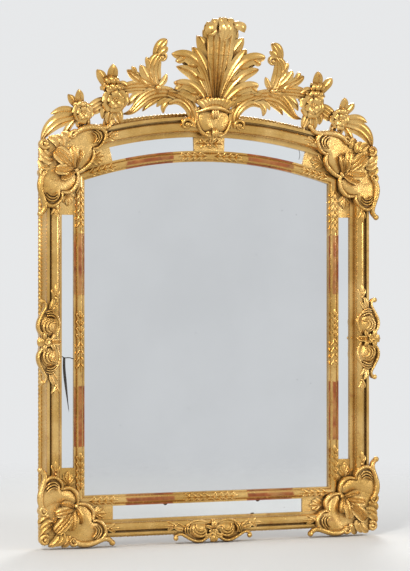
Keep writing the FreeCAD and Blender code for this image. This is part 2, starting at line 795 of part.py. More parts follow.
def make_blocks():
    """Softwood blocks glued into the opening behind the plate."""
    blocks = []
    depth = front - size.plate_thickness - size.board_thickness

    def add(x, z, length_x, length_z):
        block = doc.addObject("Part::Box", f"block_{len(blocks) + 1}")
        for path, formula in (("Length", length_x), ("Width", depth), ("Height", length_z)):
            bind(block, path, formula)
        for axis, formula in zip("xyz", (x, -(front - size.plate_thickness), z)):
            bind(block, f"Placement.Base.{axis}", formula)
        blocks.append(block)

    for share in BLOCK_PLACE_SHARES:
        middle = open_z + share * (spring_z - open_z)
        for x in (-open_x, open_x - size.block_width):
            add(x, middle - size.block_length / 2, size.block_width, size.block_length)
        middle = -open_x + share * (2 * open_x)
        add(middle - size.block_length / 2, open_z, size.block_length, size.block_width)
    gather("plate_blocks", blocks)


def make_pins():
    pins = []
    for side in (1, -1):
        for x, z in lap_pins():
            name = f"pin_{len(pins) + 1}"
            pins.append(place_cylinder(name, size.pin_radius, front, (side * x, nothing, z), to_front))
    gather("lap_pins", pins)


# Hangers: an iron strap with a rolled eye on each stile, and a ring that swings in it

hanger_x = (open_x + size.board_lap + carcass_x) / 2
hanger_z = spring_z - size.hanger_drop
ring_y = size.strap_thickness + size.ring_wire_radius + size.ring_play


def strap_screw_heights():
    return [hanger_z - share * size.strap_length for share in STRAP_HOLE_SHARES]


def make_hanger(name, side):
    body = new_body(f"hanger_strap_{name}")
    strap = new_sketch(body, "YZ_Plane", side * hanger_x)
    draw_box(strap, (nothing, hanger_z - size.strap_length), (size.strap_thickness, hanger_z))
    pad(body, strap, size.strap_width, symmetric=True)
    eye = new_sketch(body, "YZ_Plane", side * hanger_x)
    draw_circle(eye, (ring_y, hanger_z), size.eye_radius)
    pad(body, eye, size.strap_width, symmetric=True)
    bore = new_sketch(body, "YZ_Plane", side * hanger_x + size.strap_width)
    draw_circle(bore, (ring_y, hanger_z), size.ring_wire_radius + size.ring_play)
    pocket(body, bore)
    holes = new_sketch(body, "XZ_Plane")
    for z in strap_screw_heights():
        draw_circle(holes, (side * hanger_x, z), size.strap_hole_radius)
    pocket(body, holes)

    bar_turn = FreeCAD.Rotation(FreeCAD.Vector(0, 1, 0), 90)
    start = (side * hanger_x - size.ring_radius, ring_y, hanger_z)
    bar = place_cylinder(f"ring_bar_{name}", size.ring_wire_radius, 2 * size.ring_radius, start, bar_turn)
    bow = doc.addObject("Part::Torus", f"ring_bow_{name}")
    bow.Angle3 = 180
    bow.Placement = FreeCAD.Placement(FreeCAD.Vector(), FreeCAD.Rotation(FreeCAD.Vector(1, 0, 0), -90))
    bind(bow, "Radius1", size.ring_radius)
    bind(bow, "Radius2", size.ring_wire_radius)
    pieces = [bar, bow]
    for end in (-1, 1):
        knuckle = doc.addObject("Part::Sphere", f"ring_knuckle_{name}")
        bind(knuckle, "Radius", size.ring_wire_radius)
        bind(knuckle, "Placement.Base.x", side * hanger_x + end * size.ring_radius)
        pieces.append(knuckle)
    bind(bow, "Placement.Base.x", side * hanger_x)
    for piece in pieces[1:]:
        bind(piece, "Placement.Base.y", ring_y)
        bind(piece, "Placement.Base.z", hanger_z)
    ring = doc.addObject("Part::MultiFuse", f"hanger_ring_{name}")
    ring.Shapes = pieces
    subparts[ring.Label] = ring


def make_hanger_screws():
    screws = []
    sizes = (size.screw_radius, size.strap_screw_length, size.screw_head_radius, size.screw_head_depth)
    seat = size.strap_thickness + size.screw_head_depth
    for side in (-1, 1):
        for z in strap_screw_heights():
            name = f"strap_screw_{len(screws) + 1}"
            screws.append(nail_or_screw(name, side * hanger_x, seat, z, *sizes))
    gather("hanger_screws", screws)


# The brace let into the back of the top rail, which carries the crest

def make_brace():
    body = new_body("crest_brace")
    top_z = arch_z + outer_r
    lean = Formula("tan(Sizes.crest_lean)", math.tan(math.radians(size.crest_lean.value)))
    back = size.crest_foot_depth - size.crest_thickness / 2
    thick = size.brace_thickness
    over_z = top_z + CARCASS_COVER_SHARE * size.outer_top_width - size.outer_top_width + 2 * thick
    head_z = over_z + size.brace_rise
    side_view = new_sketch(body, "YZ_Plane")
    draw(
        side_view,
        (nothing, brace_foot_z),
        ((nothing, over_z + thick),),
        ((thick - back - lean * size.brace_rise, head_z),),
        ((-back - lean * (head_z - top_z), head_z),),
        ((-back - lean * (over_z - top_z), over_z),),
        ((-thick, over_z - thick / 2),),
        ((-thick, brace_foot_z),),
        ((nothing, brace_foot_z),),
    )
    pad(body, side_view, size.brace_width, symmetric=True)
    screws = []
    span = carcass_r - board_r - size.brace_margin
    sizes = (size.screw_radius, size.brace_screw_length, size.screw_head_radius, size.screw_head_depth)
    for share in BRACE_SCREW_SHARES:
        z = brace_foot_z + share * span
        screws.append(nail_or_screw(f"brace_screw_{len(screws) + 1}", nothing, nothing, z, *sizes))
    gather("brace_screws", screws)


# Carved work: outlines of arcs cut to depth, shaped in plain numbers read from the sheet

def real(formula):
    return formula.value


def outline_face(start, *steps):
    """A flat face in the XZ plane from (x, z) corners, with the same steps as a sketch outline."""
    spots = [[FreeCAD.Vector(x, 0, z) for x, z in step] for step in steps]
    here = FreeCAD.Vector(start[0], 0, start[1])
    edges = []
    for step in spots:
        curve = Part.LineSegment(here, step[0]) if len(step) == 1 else Part.Arc(here, step[0], step[1])
        edges.append(curve.toShape())
        here = step[-1]
    return Part.Face(Part.Wire(edges))


def slab(face, back, depth):
    """The face as a solid from one distance in front of its plane to another."""
    moved = face.translated(FreeCAD.Vector(0, -back, 0))
    return moved.extrude(FreeCAD.Vector(0, back - depth, 0))


def leaf_face(base, bend, tip, half_width, lobes):
    """A bent leaf: a row of round lobes down each side of its spine, narrowing to a point."""
    points = [FreeCAD.Vector(x, 0, z) for x, z in (base, bend, tip)]

    def edge(along, side, share):
        first, second = points[1] - points[0], points[2] - points[1]
        spot = points[0] + first * (2 * along) + (second - first) * along ** 2
        run = (first + (second - first) * along).normalize()
        swell = math.sin(math.pi * (LEAF_ROOT_SHARE + (1 - LEAF_ROOT_SHARE) * along))
        offset = side * share * half_width * swell
        return (spot.x - offset * run.z, spot.z + offset * run.x)

    def side_steps(side):
        steps = []
        for lobe in range(lobes):
            crown = edge((lobe + LEAF_CROWN_SHARE) / lobes, side, 1)
            notch = edge((lobe + 1) / lobes, side, LEAF_NOTCH_SHARE) if lobe + 1 < lobes else tip
            steps.append((crown, notch))
        return steps

    left, right = side_steps(1), side_steps(-1)
    start, foot = edge(0, 1, LEAF_NOTCH_SHARE), edge(0, -1, LEAF_NOTCH_SHARE)
    corners = [foot] + [step[-1] for step in right]
    back_steps = [(step[0], corner) for step, corner in zip(reversed(right), reversed(corners[:-1]))]
    return outline_face(start, *left, *back_steps, (start,))


def petal_face(centre, angle, length, half_width):
    """A round-ended petal pointing away from a flower's eye or a palm's root."""
    across = (-math.sin(angle), math.cos(angle))
    along = (math.cos(angle), math.sin(angle))

    def spot(out, aside):
        return (
            centre[0] + out * length * along[0] + aside * half_width * across[0],
            centre[1] + out * length * along[1] + aside * half_width * across[1],
        )

    widest = PETAL_WIDEST_SHARE
    return outline_face(centre, (spot(widest, 1), spot(1, 0)), (spot(widest, -1), centre))


def disc_face(centre, radius):
    right, left = (centre[0] + radius, centre[1]), (centre[0] - radius, centre[1])
    top, bottom = (centre[0], centre[1] + radius), (centre[0], centre[1] - radius)
    return outline_face(right, (top, left), (bottom, right))


def ball(place, depth, radius):
    centre = FreeCAD.Vector(place[0], -depth, place[1])
    return Part.makeSphere(radius, centre, FreeCAD.Vector(0, -1, 0))


def carve(label, solids, beds):
    """Join a carving's solids, fit them to the solids that carry them and leave the offcuts out."""
    shape = solids[0].multiFuse(solids[1:]) if len(solids) > 1 else solids[0]
    for bed in beds:
        shape = shape.cut(bed)
    piece = doc.addObject("Part::Feature", label)
    piece.Shape = max(shape.Solids, key=lambda solid: solid.Volume)
    subparts[label] = piece


def shapes_of(*names):
    return [subparts[name].Shape for name in names]


def box_face(side, low_x, high_x, low_z, high_z):
    corners = ((low_x, low_z), (high_x, low_z), (high_x, high_z), (low_x, high_z))
    spots = [(side * real(x), real(z)) for x, z in corners]
    return outline_face(spots[0], *[(spot,) for spot in spots[1:]], (spots[0],))


def arch_face(side, low_r, high_r, near_x, far_x):
    middle_x = (near_x + far_x) / 2
    low = [mirrored(side, on_arch(low_r, x)) for x in (near_x, middle_x, far_x)]
    high = [mirrored(side, on_arch(high_r, x)) for x in (far_x, middle_x, near_x)]
    low = [(real(x), real(z)) for x, z in low]
    high = [(real(x), real(z)) for x, z in high]
    return outline_face(low[0], (low[1], low[2]), (high[0],), (high[1], high[2]), (low[0],))


def corner_beds(level, name, side):
    """Plain blocks round the four mouldings that meet under a carved corner, each as deep as its moulding."""
    flank = OUTER_FLANK_SHARES[0][0]
    reach = 2 * size.corner_reach
    far_x = strip_out_x + flank * size.outer_side_width
    near_x = outer_x - reach
    if level == "top":
        far_r = strip_out_r + flank * size.outer_top_width
        outer_end, inner_end = on_arch(far_r, outer_x)[1], on_arch(strip_in_r, strip_in_x)[1]
        outer_across = arch_face(side, strip_out_r, far_r, near_x, far_x)
        inner_across = arch_face(side, plate_r, strip_in_r, near_x, strip_in_x)
        reach = -reach
    else:
        outer_end, inner_end = strip_out_z - flank * size.outer_bottom_width, strip_in_z
        outer_across = box_face(side, near_x, far_x, outer_end, strip_out_z)
        inner_across = box_face(side, near_x, strip_in_x, strip_in_z, plate_z)
    faces = {
        f"outer_moulding_{name}": box_face(side, strip_out_x, far_x, outer_end, outer_end + reach),
        f"outer_moulding_{level}": outer_across,
        f"inner_moulding_{name}": box_face(side, plate_x, strip_in_x, inner_end, inner_end + reach),
        f"inner_moulding_{level}": inner_across,
    }
    return [slab(face, 0, -subparts[label].Shape.BoundBox.YMin) for label, face in faces.items()]


def make_corner(level, name, side):
    """A carved corner: scrolled rims, ball ends and a palm of leaves over the mitre."""
    reach = real(size.corner_reach)
    face_y = real(front)
    at_top = level == "top"
    corner = outer_high[1] if at_top else outer_low[1]
    origin_x, origin_z = real(corner[0]), real(corner[1])
    shoulder = real(on_arch(outer_r, outer_x - size.corner_reach)[1]) - origin_z
    skew = CORNER_SKEW_SHARE * shoulder / reach if at_top else 0
    inward = -1 if at_top else 1

    def place(shares):
        across, along = shares[0] * reach, shares[1] * reach
        return (side * (origin_x - across), origin_z + inward * (along - skew * max(across, 0)))

    def swap(shares):
        return (shares[1], shares[0])

    half = [(place(a), place(b)) for a, b in CORNER_RIM_SHARES]
    half += [(place(shares),) for shares in CORNER_NECK_SHARES]
    half += [(place(a), place(b)) for a, b in CORNER_INNER_SHARES]
    half += [(place(CORNER_ROOT_SHARES),)]
    swapped = [CORNER_TIP_SHARES] + [b for _, b in CORNER_RIM_SHARES] + list(CORNER_NECK_SHARES)
    swapped += [b for _, b in CORNER_INNER_SHARES] + [CORNER_ROOT_SHARES]
    throughs = [a for a, _ in CORNER_RIM_SHARES] + [None] * len(CORNER_NECK_SHARES)
    throughs += [a for a, _ in CORNER_INNER_SHARES] + [None]
    back = []
    for through, target in zip(reversed(throughs), reversed(swapped[:-1])):
        end = place(swap(target))
        back.append((end,) if through is None else (place(swap(through)), end))
    field = outline_face(place(CORNER_TIP_SHARES), *half, *back)
    solids = [slab(field, face_y + real(size.panel_thickness), face_y + real(size.corner_depth))]
    root = place(CORNER_ROOT_SHARES)
    tips = list(CORNER_LEAF_SHARES) + [swap(shares) for shares in CORNER_LEAF_SHARES[:-1]]
    for shares in tips:
        tip = place(shares)
        reach_x, reach_z = tip[0] - root[0], tip[1] - root[1]
        heading, length = math.atan2(reach_z, reach_x), math.hypot(reach_x, reach_z)
        petal = petal_face(root, heading, length, CORNER_LEAF_WIDTH_SHARE * reach)
        leaf_back = face_y + real(size.corner_depth) / 2
        solids.append(slab(petal, leaf_back, face_y + real(size.corner_leaf_depth)))
    radius = real(size.ball_radius)
    for shares in (CORNER_BALL_SHARES, swap(CORNER_BALL_SHARES)):
        solids.append(ball(place(shares), face_y + real(size.corner_depth) - radius, radius))
    beds = corner_beds(level, name, side)
    if at_top:
        beds += shapes_of("spray_pins")
    carve(f"corner_carving_{level}_{name}", solids, beds)


def make_cartouche(label, place, moulding):
    """A cartouche centred on a moulding; place turns (along, outward) shares into a point of the front."""
    face_y = real(front)

    def flip(shares):
        return (-shares[0], shares[1])

    right = [(a, b) for a, b in CARTOUCHE_OUTER_SHARES]
    right += [(shares,) for shares in CARTOUCHE_NECK_SHARES]
    right += [(a, b) for a, b in CARTOUCHE_INNER_SHARES]
    right += [(CARTOUCHE_CURL_SHARES,)]
    corners = [CARTOUCHE_KNOB_SHARES] + [step[-1] for step in right]
    left = []
    for step, corner in zip(reversed(right), reversed(corners[:-1])):
        left.append((flip(corner),) if len(step) == 1 else (flip(step[0]), flip(corner)))
    steps = [tuple(place(spot) for spot in step) for step in right + left]
    field = outline_face(place(CARTOUCHE_KNOB_SHARES), *steps)
    solids = [slab(field, face_y + real(size.panel_thickness), face_y + real(size.cartouche_depth))]
    tips = [place(shares) for shares in CARTOUCHE_BOSS_SHARES]
    boss = outline_face(tips[0], (tips[1], tips[2]), (tips[3], tips[0]))
    solids.append(slab(boss, face_y + real(size.panel_thickness), face_y + real(size.cartouche_boss_depth)))
    radius = real(size.ball_radius)
    for shares in (CARTOUCHE_BALL_SHARES, flip(CARTOUCHE_BALL_SHARES)):
        solids.append(ball(place(shares), face_y + real(size.cartouche_depth) - radius, radius))
    carve(label, solids, shapes_of(moulding))


def make_cartouches():
    reach = real(size.cartouche_reach)
    middle_z = real(strip_low_z + size.strip_side_length / 2)
    edge_x, edge_z = real(outer_x), real(outer_z)
    make_cartouche(
        "cartouche_right",
        lambda shares: (edge_x + shares[1] * reach, middle_z + shares[0] * reach),
        "outer_moulding_right",
    )
    make_cartouche(
        "cartouche_left",
        lambda shares: (-edge_x - shares[1] * reach, middle_z + shares[0] * reach),
        "outer_moulding_left",
    )
    make_cartouche(
        "cartouche_bottom",
        lambda shares: (shares[0] * reach, edge_z - shares[1] * reach),
        "outer_moulding_bottom",
    )


def make_console():
    """The bracket under the crest, hanging over the arched moulding onto the keystone panel."""
    half = real(size.console_half_width)
    top = real(arch_z + outer_r + size.console_top)
    tall = real(size.console_top + size.console_drop)

    def place(side, shares):
        return (side * shares[0] * half, top - tall * (1 - shares[1]))

    right = [tuple(place(1, shares) for shares in step) for step in CONSOLE_SIDE_SHARES]
    starts = [(half, top)] + [step[-1] for step in right]
    left = []
    for step, start in zip(reversed(right), reversed(starts[:-1])):
        left.append(((-step[0][0], step[0][1]), (-start[0], start[1])))
    foot = (-right[-1][-1][0], right[-1][-1][1])
    crown = ((0, top + tall * LEAF_ROOT_SHARE), (half, top))
    field = outline_face((half, top), *right, (foot,), *left, crown)
    face_y = real(front)
    solid = slab(field, face_y + real(size.panel_thickness), face_y + real(size.console_depth))
    carve("crest_console", [solid], shapes_of("outer_moulding_top", "crest_brace"))


# Crest: flat leaves stood on the arched moulding, then leaned forward together about its top edge

def crest_point(shares, side=1):
    """A place on the crest's own plane: across, and up from the arched moulding below it."""
    across = shares[0] * real(size.crest_half_width)
    under = min(abs(across), real(outer_x))
    drop = math.sqrt(real(outer_r) ** 2 - under ** 2) - real(outer_r)
    lean = math.cos(math.radians(real(size.crest_lean)))
    return (side * across, drop / lean + shares[1] * real(size.crest_height))


def stand_crest(solid):
    """Lean a flat crest solid forward and set it on the moulding."""
    foot = FreeCAD.Vector(0, -real(size.crest_foot_depth), real(arch_z + outer_r))
    lean = FreeCAD.Rotation(FreeCAD.Vector(1, 0, 0), real(size.crest_lean))
    return solid.transformed(FreeCAD.Placement(foot, lean).toMatrix())


def crest_leaves(label, side):
    """The leaves of one crest piece, each a little prouder than the one before."""
    back = -real(size.crest_thickness) / 2
    depth = real(size.crest_thickness) / 2
    table = CREST_LEAF_SHARES[label]
    solids = []
    for index, (base, bend, tip, width, lobes) in enumerate(table):
        spots = [crest_point(shares, side) for shares in (base, bend, tip)]
        face = leaf_face(*spots, width * real(size.crest_height), lobes)
        solids.append(slab(face, back, depth + real(size.crest_relief) * (index + 1) / len(table)))
    return solids


def make_palmette():
    back = -real(size.crest_thickness) / 2
    depth = real(size.crest_thickness) / 2 + real(size.crest_relief) * PALMETTE_RELIEF_SHARE
    foot, joint = [crest_point(shares) for shares in PALMETTE_FAN_SHARES]
    joint_z = joint[1]
    start = (-foot[0], foot[1])
    fan = outline_face(start, (foot,), (joint,), ((-joint[0], joint_z),), (start,))
    solids = [slab(fan, back, depth)]
    for side in (1, -1):
        solids += crest_leaves("crest_palmette", side)
    solids = [stand_crest(solid) for solid in solids]
    beds = shapes_of("outer_moulding_top", "crest_console", "crest_brace")
    carve("crest_palmette", solids, beds)

    notch, lobe, neck = [crest_point(shares) for shares in PALMETTE_LOBE_SHARES]
    top = PALMETTE_TOP_SHARE * real(size.crest_height)
    right = [(notch, lobe), (neck,), ((neck[0], top),)]
    left = [((-neck[0], top),), ((-neck[0], neck[1]),), ((-lobe[0], lobe[1]),)]
    left.append(((-notch[0], notch[1]), (-joint[0], joint_z)))
    head = outline_face(joint, *right, *left, (joint,))
    solids = [slab(head, back, depth)]
    radius, half = real(size.curl_radius), real(size.curl_half_width)
    axis = FreeCAD.Vector(1, 0, 0)
    roll_depth = depth + radius / 2
    start = FreeCAD.Vector(-half, -roll_depth, top)
    solids.append(Part.makeCylinder(radius, 2 * half, start, axis))
    for across, width in CURL_DROOP_SHARES:
        base = (across * half, top)
        face = petal_face(base, -math.pi / 2, CURL_DROOP_LENGTH_SHARE * radius, width * half)
        solids.append(slab(face, roll_depth, roll_depth + radius))
    solids = [stand_crest(solid) for solid in solids]
    carve("crest_palmette_tip", solids, shapes_of("crest_palmette"))


def make_scroll(name, side):
    """The C-scroll beside the console, running out into a long leaf."""
    label = f"crest_scroll_{name}"
    tall = real(size.crest_height)
    back = -real(size.crest_thickness) / 2
    depth = real(size.crest_thickness) / 2 + 2 * real(size.crest_relief)
    centre = crest_point(SCROLL_CENTRE_SHARES)
    radius, band = SCROLL_RADIUS_SHARE * tall, SCROLL_BAND_SHARE * tall

    def spot(angle, reach):
        turn = math.radians(angle)
        return (side * (centre[0] + reach * math.cos(turn)), centre[1] + reach * math.sin(turn))

    first, last = SCROLL_TURN
    middle = (first + last) / 2
    face = outline_face(
        spot(first, radius + band),
        (spot(middle, radius + band), spot(last, radius + band)),
        (spot(last, radius - band),),
        (spot(middle, radius - band), spot(first, radius - band)),
        (spot(first, radius + band),),
    )
    volute = disc_face(crest_point(SCROLL_VOLUTE_SHARES, side), SCROLL_VOLUTE_RADIUS_SHARE * tall)
    solids = [slab(face, back, depth), slab(volute, back, depth + real(size.crest_relief))]
    solids += crest_leaves("crest_scroll", side)
    solids = [stand_crest(solid) for solid in solids]
    beds = shapes_of("outer_moulding_top", f"corner_carving_top_{name}", "crest_console", "crest_palmette")
    carve(label, solids, beds)


def make_branch(name, side):
    """The leafy branch that rises over the scroll towards the flowers."""
    eye = disc_face(crest_point(BRANCH_EYE_SHARES, side), BRANCH_EYE_RADIUS_SHARE * real(size.crest_height))
    thick = real(size.crest_thickness)
    solids = [slab(eye, -thick / 2, thick / 2 + real(size.crest_relief))]
    solids += crest_leaves("crest_branch", side)
    solids = [stand_crest(solid) for solid in solids]
    ground = ("outer_moulding_top", f"corner_carving_top_{name}")
    beds = shapes_of(*ground, "crest_palmette", f"crest_scroll_{name}")
    carve(f"crest_branch_{name}", solids, beds)


def flower_solids(centre, radius):
    thick = real(size.crest_thickness)
    relief = real(size.crest_relief)
    solids = []
    for petal in range(FLOWER_PETALS):
        angle = math.pi / 2 + 2 * math.pi * petal / FLOWER_PETALS
        face = petal_face(centre, angle, radius, FLOWER_PETAL_WIDTH_SHARE * radius)
        solids.append(slab(face, -thick / 2, thick / 2 + relief))
    eye = FLOWER_EYE_SHARE * radius
    solids.append(slab(disc_face(centre, eye), -thick / 2, thick / 2 + relief))
    solids.append(ball(centre, thick / 2 + relief, eye))
    return solids


def make_flowers(name, side):
    radius = real(size.flower_radius)
    solids = crest_leaves("crest_flower_inner", side)
    solids += flower_solids(crest_point(FLOWER_INNER_SHARES, side), radius)
    solids = [stand_crest(solid) for solid in solids]
    ground = ("outer_moulding_top", f"outer_moulding_{name}", f"corner_carving_top_{name}")
    beds = shapes_of(*ground, f"crest_scroll_{name}", f"crest_branch_{name}")
    carve(f"crest_flower_inner_{name}", solids, beds)
    solids = crest_leaves("crest_flower_outer", side)
    solids += flower_solids(crest_point(FLOWER_OUTER_SHARES, side), FLOWER_OUTER_SIZE_SHARE * radius)
    solids = [stand_crest(solid) for solid in solids]
    beds = shapes_of(*ground, f"crest_flower_inner_{name}")
    carve(f"crest_flower_outer_{name}", solids, beds)


def make_spray_pins():
    """Iron pins that stand in the arched moulding and carry the flower sprays."""
    pins = []
    sink = real(size.spray_pin_sink)
    for side in (-1, 1):
        for share in SPRAY_PIN_SHARES:
            foot = crest_point((share, -sink / real(size.crest_height)), side)
            start = FreeCAD.Vector(foot[0], 0, foot[1])
            pins.append(Part.makeCylinder(real(size.spray_pin_radius), 3 * sink, start))
    pins = [stand_crest(pin) for pin in pins]
    piece = doc.addObject("Part::Feature", "spray_pins")
    piece.Shape = Part.Compound(pins)
    subparts["spray_pins"] = piece


def build():
    for name, side in (("left", -1), ("right", 1)):
        make_stile(f"stile_{name}", side)
        make_hanger(name, side)
    make_bottom_rail()
    make_top_rail()
    make_mouldings()
    make_plate()
    make_strips()
    make_panels()
    make_boards()
    make_blocks()
    make_pins()
    make_hanger_screws()
    make_brace()
    make_spray_pins()
    doc.recompute()
    for level in ("bottom", "top"):
        for name, side in (("left", -1), ("right", 1)):
            make_corner(level, name, side)
    make_cartouches()
    make_console()
    make_palmette()
    for name, side in (("left", -1), ("right", 1)):
        make_scroll(name, side)
        make_branch(name, side)
        make_flowers(name, side)
    doc.recompute()


def check_and_write():
    for thing in doc.Objects:
        if "Invalid" in thing.State or "Error" in thing.State:
            raise RuntimeError(f"{thing.Label} failed: {thing.State}")
    for label, piece in subparts.items():
        if piece.Shape.isNull() or not piece.Shape.isValid() or not piece.Shape.Solids:
            raise RuntimeError(f"{label} has no sound solid")
    os.makedirs("parts", exist_ok=True)
    for label, piece in subparts.items():
        piece.Shape.exportStep(f"parts/{label}.step")
        print(label, len(piece.Shape.Solids), round(piece.Shape.Volume))


build()
check_and_write()
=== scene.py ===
import math

import bmesh
import bpy
import numpy as np
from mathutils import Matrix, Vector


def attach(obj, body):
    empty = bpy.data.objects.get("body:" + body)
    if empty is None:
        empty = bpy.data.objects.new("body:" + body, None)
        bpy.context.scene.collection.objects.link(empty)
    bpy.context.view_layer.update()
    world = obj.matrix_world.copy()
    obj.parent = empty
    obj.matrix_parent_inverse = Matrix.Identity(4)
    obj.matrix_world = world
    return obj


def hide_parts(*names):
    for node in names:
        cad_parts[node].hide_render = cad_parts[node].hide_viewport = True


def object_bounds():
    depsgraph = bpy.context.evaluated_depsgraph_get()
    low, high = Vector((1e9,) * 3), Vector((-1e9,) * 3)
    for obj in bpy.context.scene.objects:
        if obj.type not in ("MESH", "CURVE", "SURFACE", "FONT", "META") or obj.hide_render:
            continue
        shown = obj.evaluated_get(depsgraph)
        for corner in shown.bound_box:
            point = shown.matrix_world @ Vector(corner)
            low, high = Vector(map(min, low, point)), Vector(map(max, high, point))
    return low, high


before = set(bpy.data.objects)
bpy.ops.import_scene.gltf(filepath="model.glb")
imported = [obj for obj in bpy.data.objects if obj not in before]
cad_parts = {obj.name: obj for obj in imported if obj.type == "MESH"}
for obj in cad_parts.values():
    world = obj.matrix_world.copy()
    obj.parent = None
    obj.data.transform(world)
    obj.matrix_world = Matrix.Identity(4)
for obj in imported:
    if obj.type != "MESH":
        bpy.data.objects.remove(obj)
cad_low, cad_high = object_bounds()

MILLIMETRE = 0.001
SIDES = ((-1, "left"), (1, "right"))

# Places on the part and radii of its arches, in millimetres
CREST_FOOT_Y = -58.0
CREST_FOOT_Z = 1187.55
OUTER_X = 519.5
OUTER_Z = -59.445
TOP_CORNER_Z = 1089.6
SIDE_MIDDLE_Z = 515.0
CARCASS_FRONT = 25.0
ARCH_Z = -238.9
TORUS_X, TORUS_Z, TORUS_R = 494.0, -38.8, 1397.6
INNER_X, INNER_Z, INNER_R = 411.3, 41.7, 1308.3
STRIP_X, STRIP_Z, STRIP_R = 447.5, 4.0, 1346.0
ROPE_X, ROPE_Y, ROPE_Z, ROPE_R = 523.5, -10.2, -63.75, 1432.5

# How the planes of the carving lean, slope and narrow
LEAN = math.radians(13.5)
TOP_SLOPE = 0.27
TOP_SLOPE_FADE = 60.0
BOTTOM_DRAWN_IN = 0.88

# How fine the lines and shells are
LINE_STEPS = 16
LINE_SMOOTHING = 40
LOOP_STEPS = 40
LOOP_THINNING = 8
SPIRAL_STEPS = 24
BALL_ROWS, BALL_AROUND = 9, 14
DOME_ROWS, DOME_AROUND = 8, 56
SHARP_ANGLE = math.radians(48)

# How leaves and domes are formed, mostly as shares of their half width
TIP_CROWDING = 1.4
LEAST_WIDTH = 0.04
UNDERSIDE = np.array((0.6, 0.0, -0.6))
DOME_FOOT = 0.86
DOME_CROWN = 0.04

# Colours
GOLD_DULL, GOLD_BRIGHT = (0.56, 0.325, 0.085), (0.76, 0.49, 0.175)
# Painted shade, with some dirt, for the hollows and creases of the gilding
HOLLOW_SHADE_AND_DIRT = (0.11, 0.047, 0.011)
BOLE_RUBBED = (0.42, 0.17, 0.055)
BOLE_DARK, BOLE_LIGHT = (0.21, 0.045, 0.011), (0.38, 0.105, 0.022)
CARVED_DARK, CARVED_LIGHT = (0.17, 0.10, 0.045), (0.33, 0.215, 0.105)
OAK_LIGHT, OAK_DARK = (0.25, 0.155, 0.08), (0.12, 0.068, 0.033)
DEAL_LIGHT, DEAL_DARK = (0.42, 0.27, 0.135), (0.26, 0.15, 0.07)
CRACK_LIGHT, CRACK_DARK = (0.055, 0.045, 0.035), (0.02, 0.016, 0.013)
STAIN = (0.09, 0.075, 0.06)
IRON_BARE, IRON_RUST = (0.060, 0.055, 0.052), (0.16, 0.062, 0.024)
PLATE_SILVER, STRIP_SILVER = (0.74, 0.755, 0.77), (0.86, 0.885, 0.90)
MIRROR_SPOT = (0.16, 0.17, 0.18)
FLOOR_PALE = (0.70, 0.70, 0.69, 1)
ROOM_AHEAD, ROOM_BESIDE = (0.80, 0.81, 0.82, 1), (0.56, 0.565, 0.57, 1)

# Finish of the materials
SATIN, BURNISHED = 0.42, 0.28
GRAIN_UPRIGHT, GRAIN_ACROSS, GRAIN_EVEN = (1, 1, 0.05), (0.05, 1, 1), (1, 1, 1)
BOARD_TONES = (0.82, 1.12, 0.94, 1.24)
BOARD_SHIFT = 3.7

# Floor and camera, with lengths in metres and the lens in millimetres
FLOOR_RADIUS = 3.2
CAMERA_PLACE = (-2.4018, -6.2547, 0.7062)
CAMERA_TURN = math.radians(-21)
CAMERA_LENS = 139.06
CAMERA_SHIFT = -0.0156


# Lines and widths


def along(points, shares):
    """Places on a smooth line through the points, at shares of its length."""
    p = np.asarray(points, float)
    p = np.vstack([2 * p[0] - p[1], p, 2 * p[-1] - p[-2]])
    t = np.linspace(0, 1, LINE_STEPS, endpoint=False)[:, None]
    runs = []
    for a, b, c, d in zip(p, p[1:], p[2:], p[3:]):
        bend = (2 * a - 5 * b + 4 * c - d) * t**2 + (3 * b - a - 3 * c + d) * t**3
        runs.append(b + 0.5 * ((c - a) * t + bend))
    line = np.vstack(runs + [p[-2:-1]])
    for _ in range(LINE_SMOOTHING):
        line[1:-1] = 0.25 * (line[:-2] + 2 * line[1:-1] + line[2:])
    steps = np.linalg.norm(np.diff(line, axis=0), axis=1)
    gone = np.concatenate([[0], np.cumsum(steps)])
    places = np.asarray(shares) * gone[-1]
    return np.stack([np.interp(places, gone, line[:, k]) for k in range(line.shape[1])], 1)


def loop(points, count):
    """Places on a smooth closed line through the points."""
    p = np.asarray(points, float)
    turns = np.vstack([p[-2:], p, p[:3]])
    line = along(turns, np.linspace(0, 1, LOOP_STEPS * len(turns)))
    first = np.argmin(np.linalg.norm(line[: len(line) // 2] - p[0], axis=1))
    later = first + LOOP_STEPS // 2
    last = later + np.argmin(np.linalg.norm(line[later:] - p[0], axis=1))
    return along(line[first : last + 1 : LOOP_THINNING], np.linspace(0, 1, count + 1)[:-1])


def swell(share, root, widest, blunt):
    """How a leaf's width goes from its root to its tip."""
    rise = root + (1 - root) * np.sin(0.5 * np.pi * np.clip(share / widest, 0, 1))
    past = np.clip((share - widest) / max(1 - widest, 1e-6), 0, 1)
    fall = (1 - past ** (1.5 + 1.5 * blunt)) ** (1 - 0.5 * blunt)
    return np.maximum(rise * fall, LEAST_WIDTH)


def spiral(centre, radius, eye, start, turns):
    """The line of a volute from its rim to its eye, with angles in degrees."""
    t = np.linspace(0, 1, SPIRAL_STEPS)
    angle = np.radians(start + 360 * turns * t)
    reach = radius + (eye - radius) * t
    x = centre[0] + reach * np.cos(angle)
    y = centre[1] + reach * np.sin(angle)
    return np.stack([x, y, np.full_like(t, centre[2])], 1)


def mirror(side):
    """A function that puts the stops of a line on the right side, or on the left."""
    def at(*stops):
        return [(side * x, v, h) for x, v, h in stops]

    return at


def both(*stops):
    """The stops of a line on one arm of a corner, and the same on its other arm."""
    return list(stops), [(q, p, h) for p, q, h in stops]


def arch_spot(radius, x):
    """The place on an arch at a distance from the middle."""
    return x, ARCH_Z + math.sqrt(radius**2 - x**2)


# Planes that the carving is worked on, with the heights over them as the third coordinate


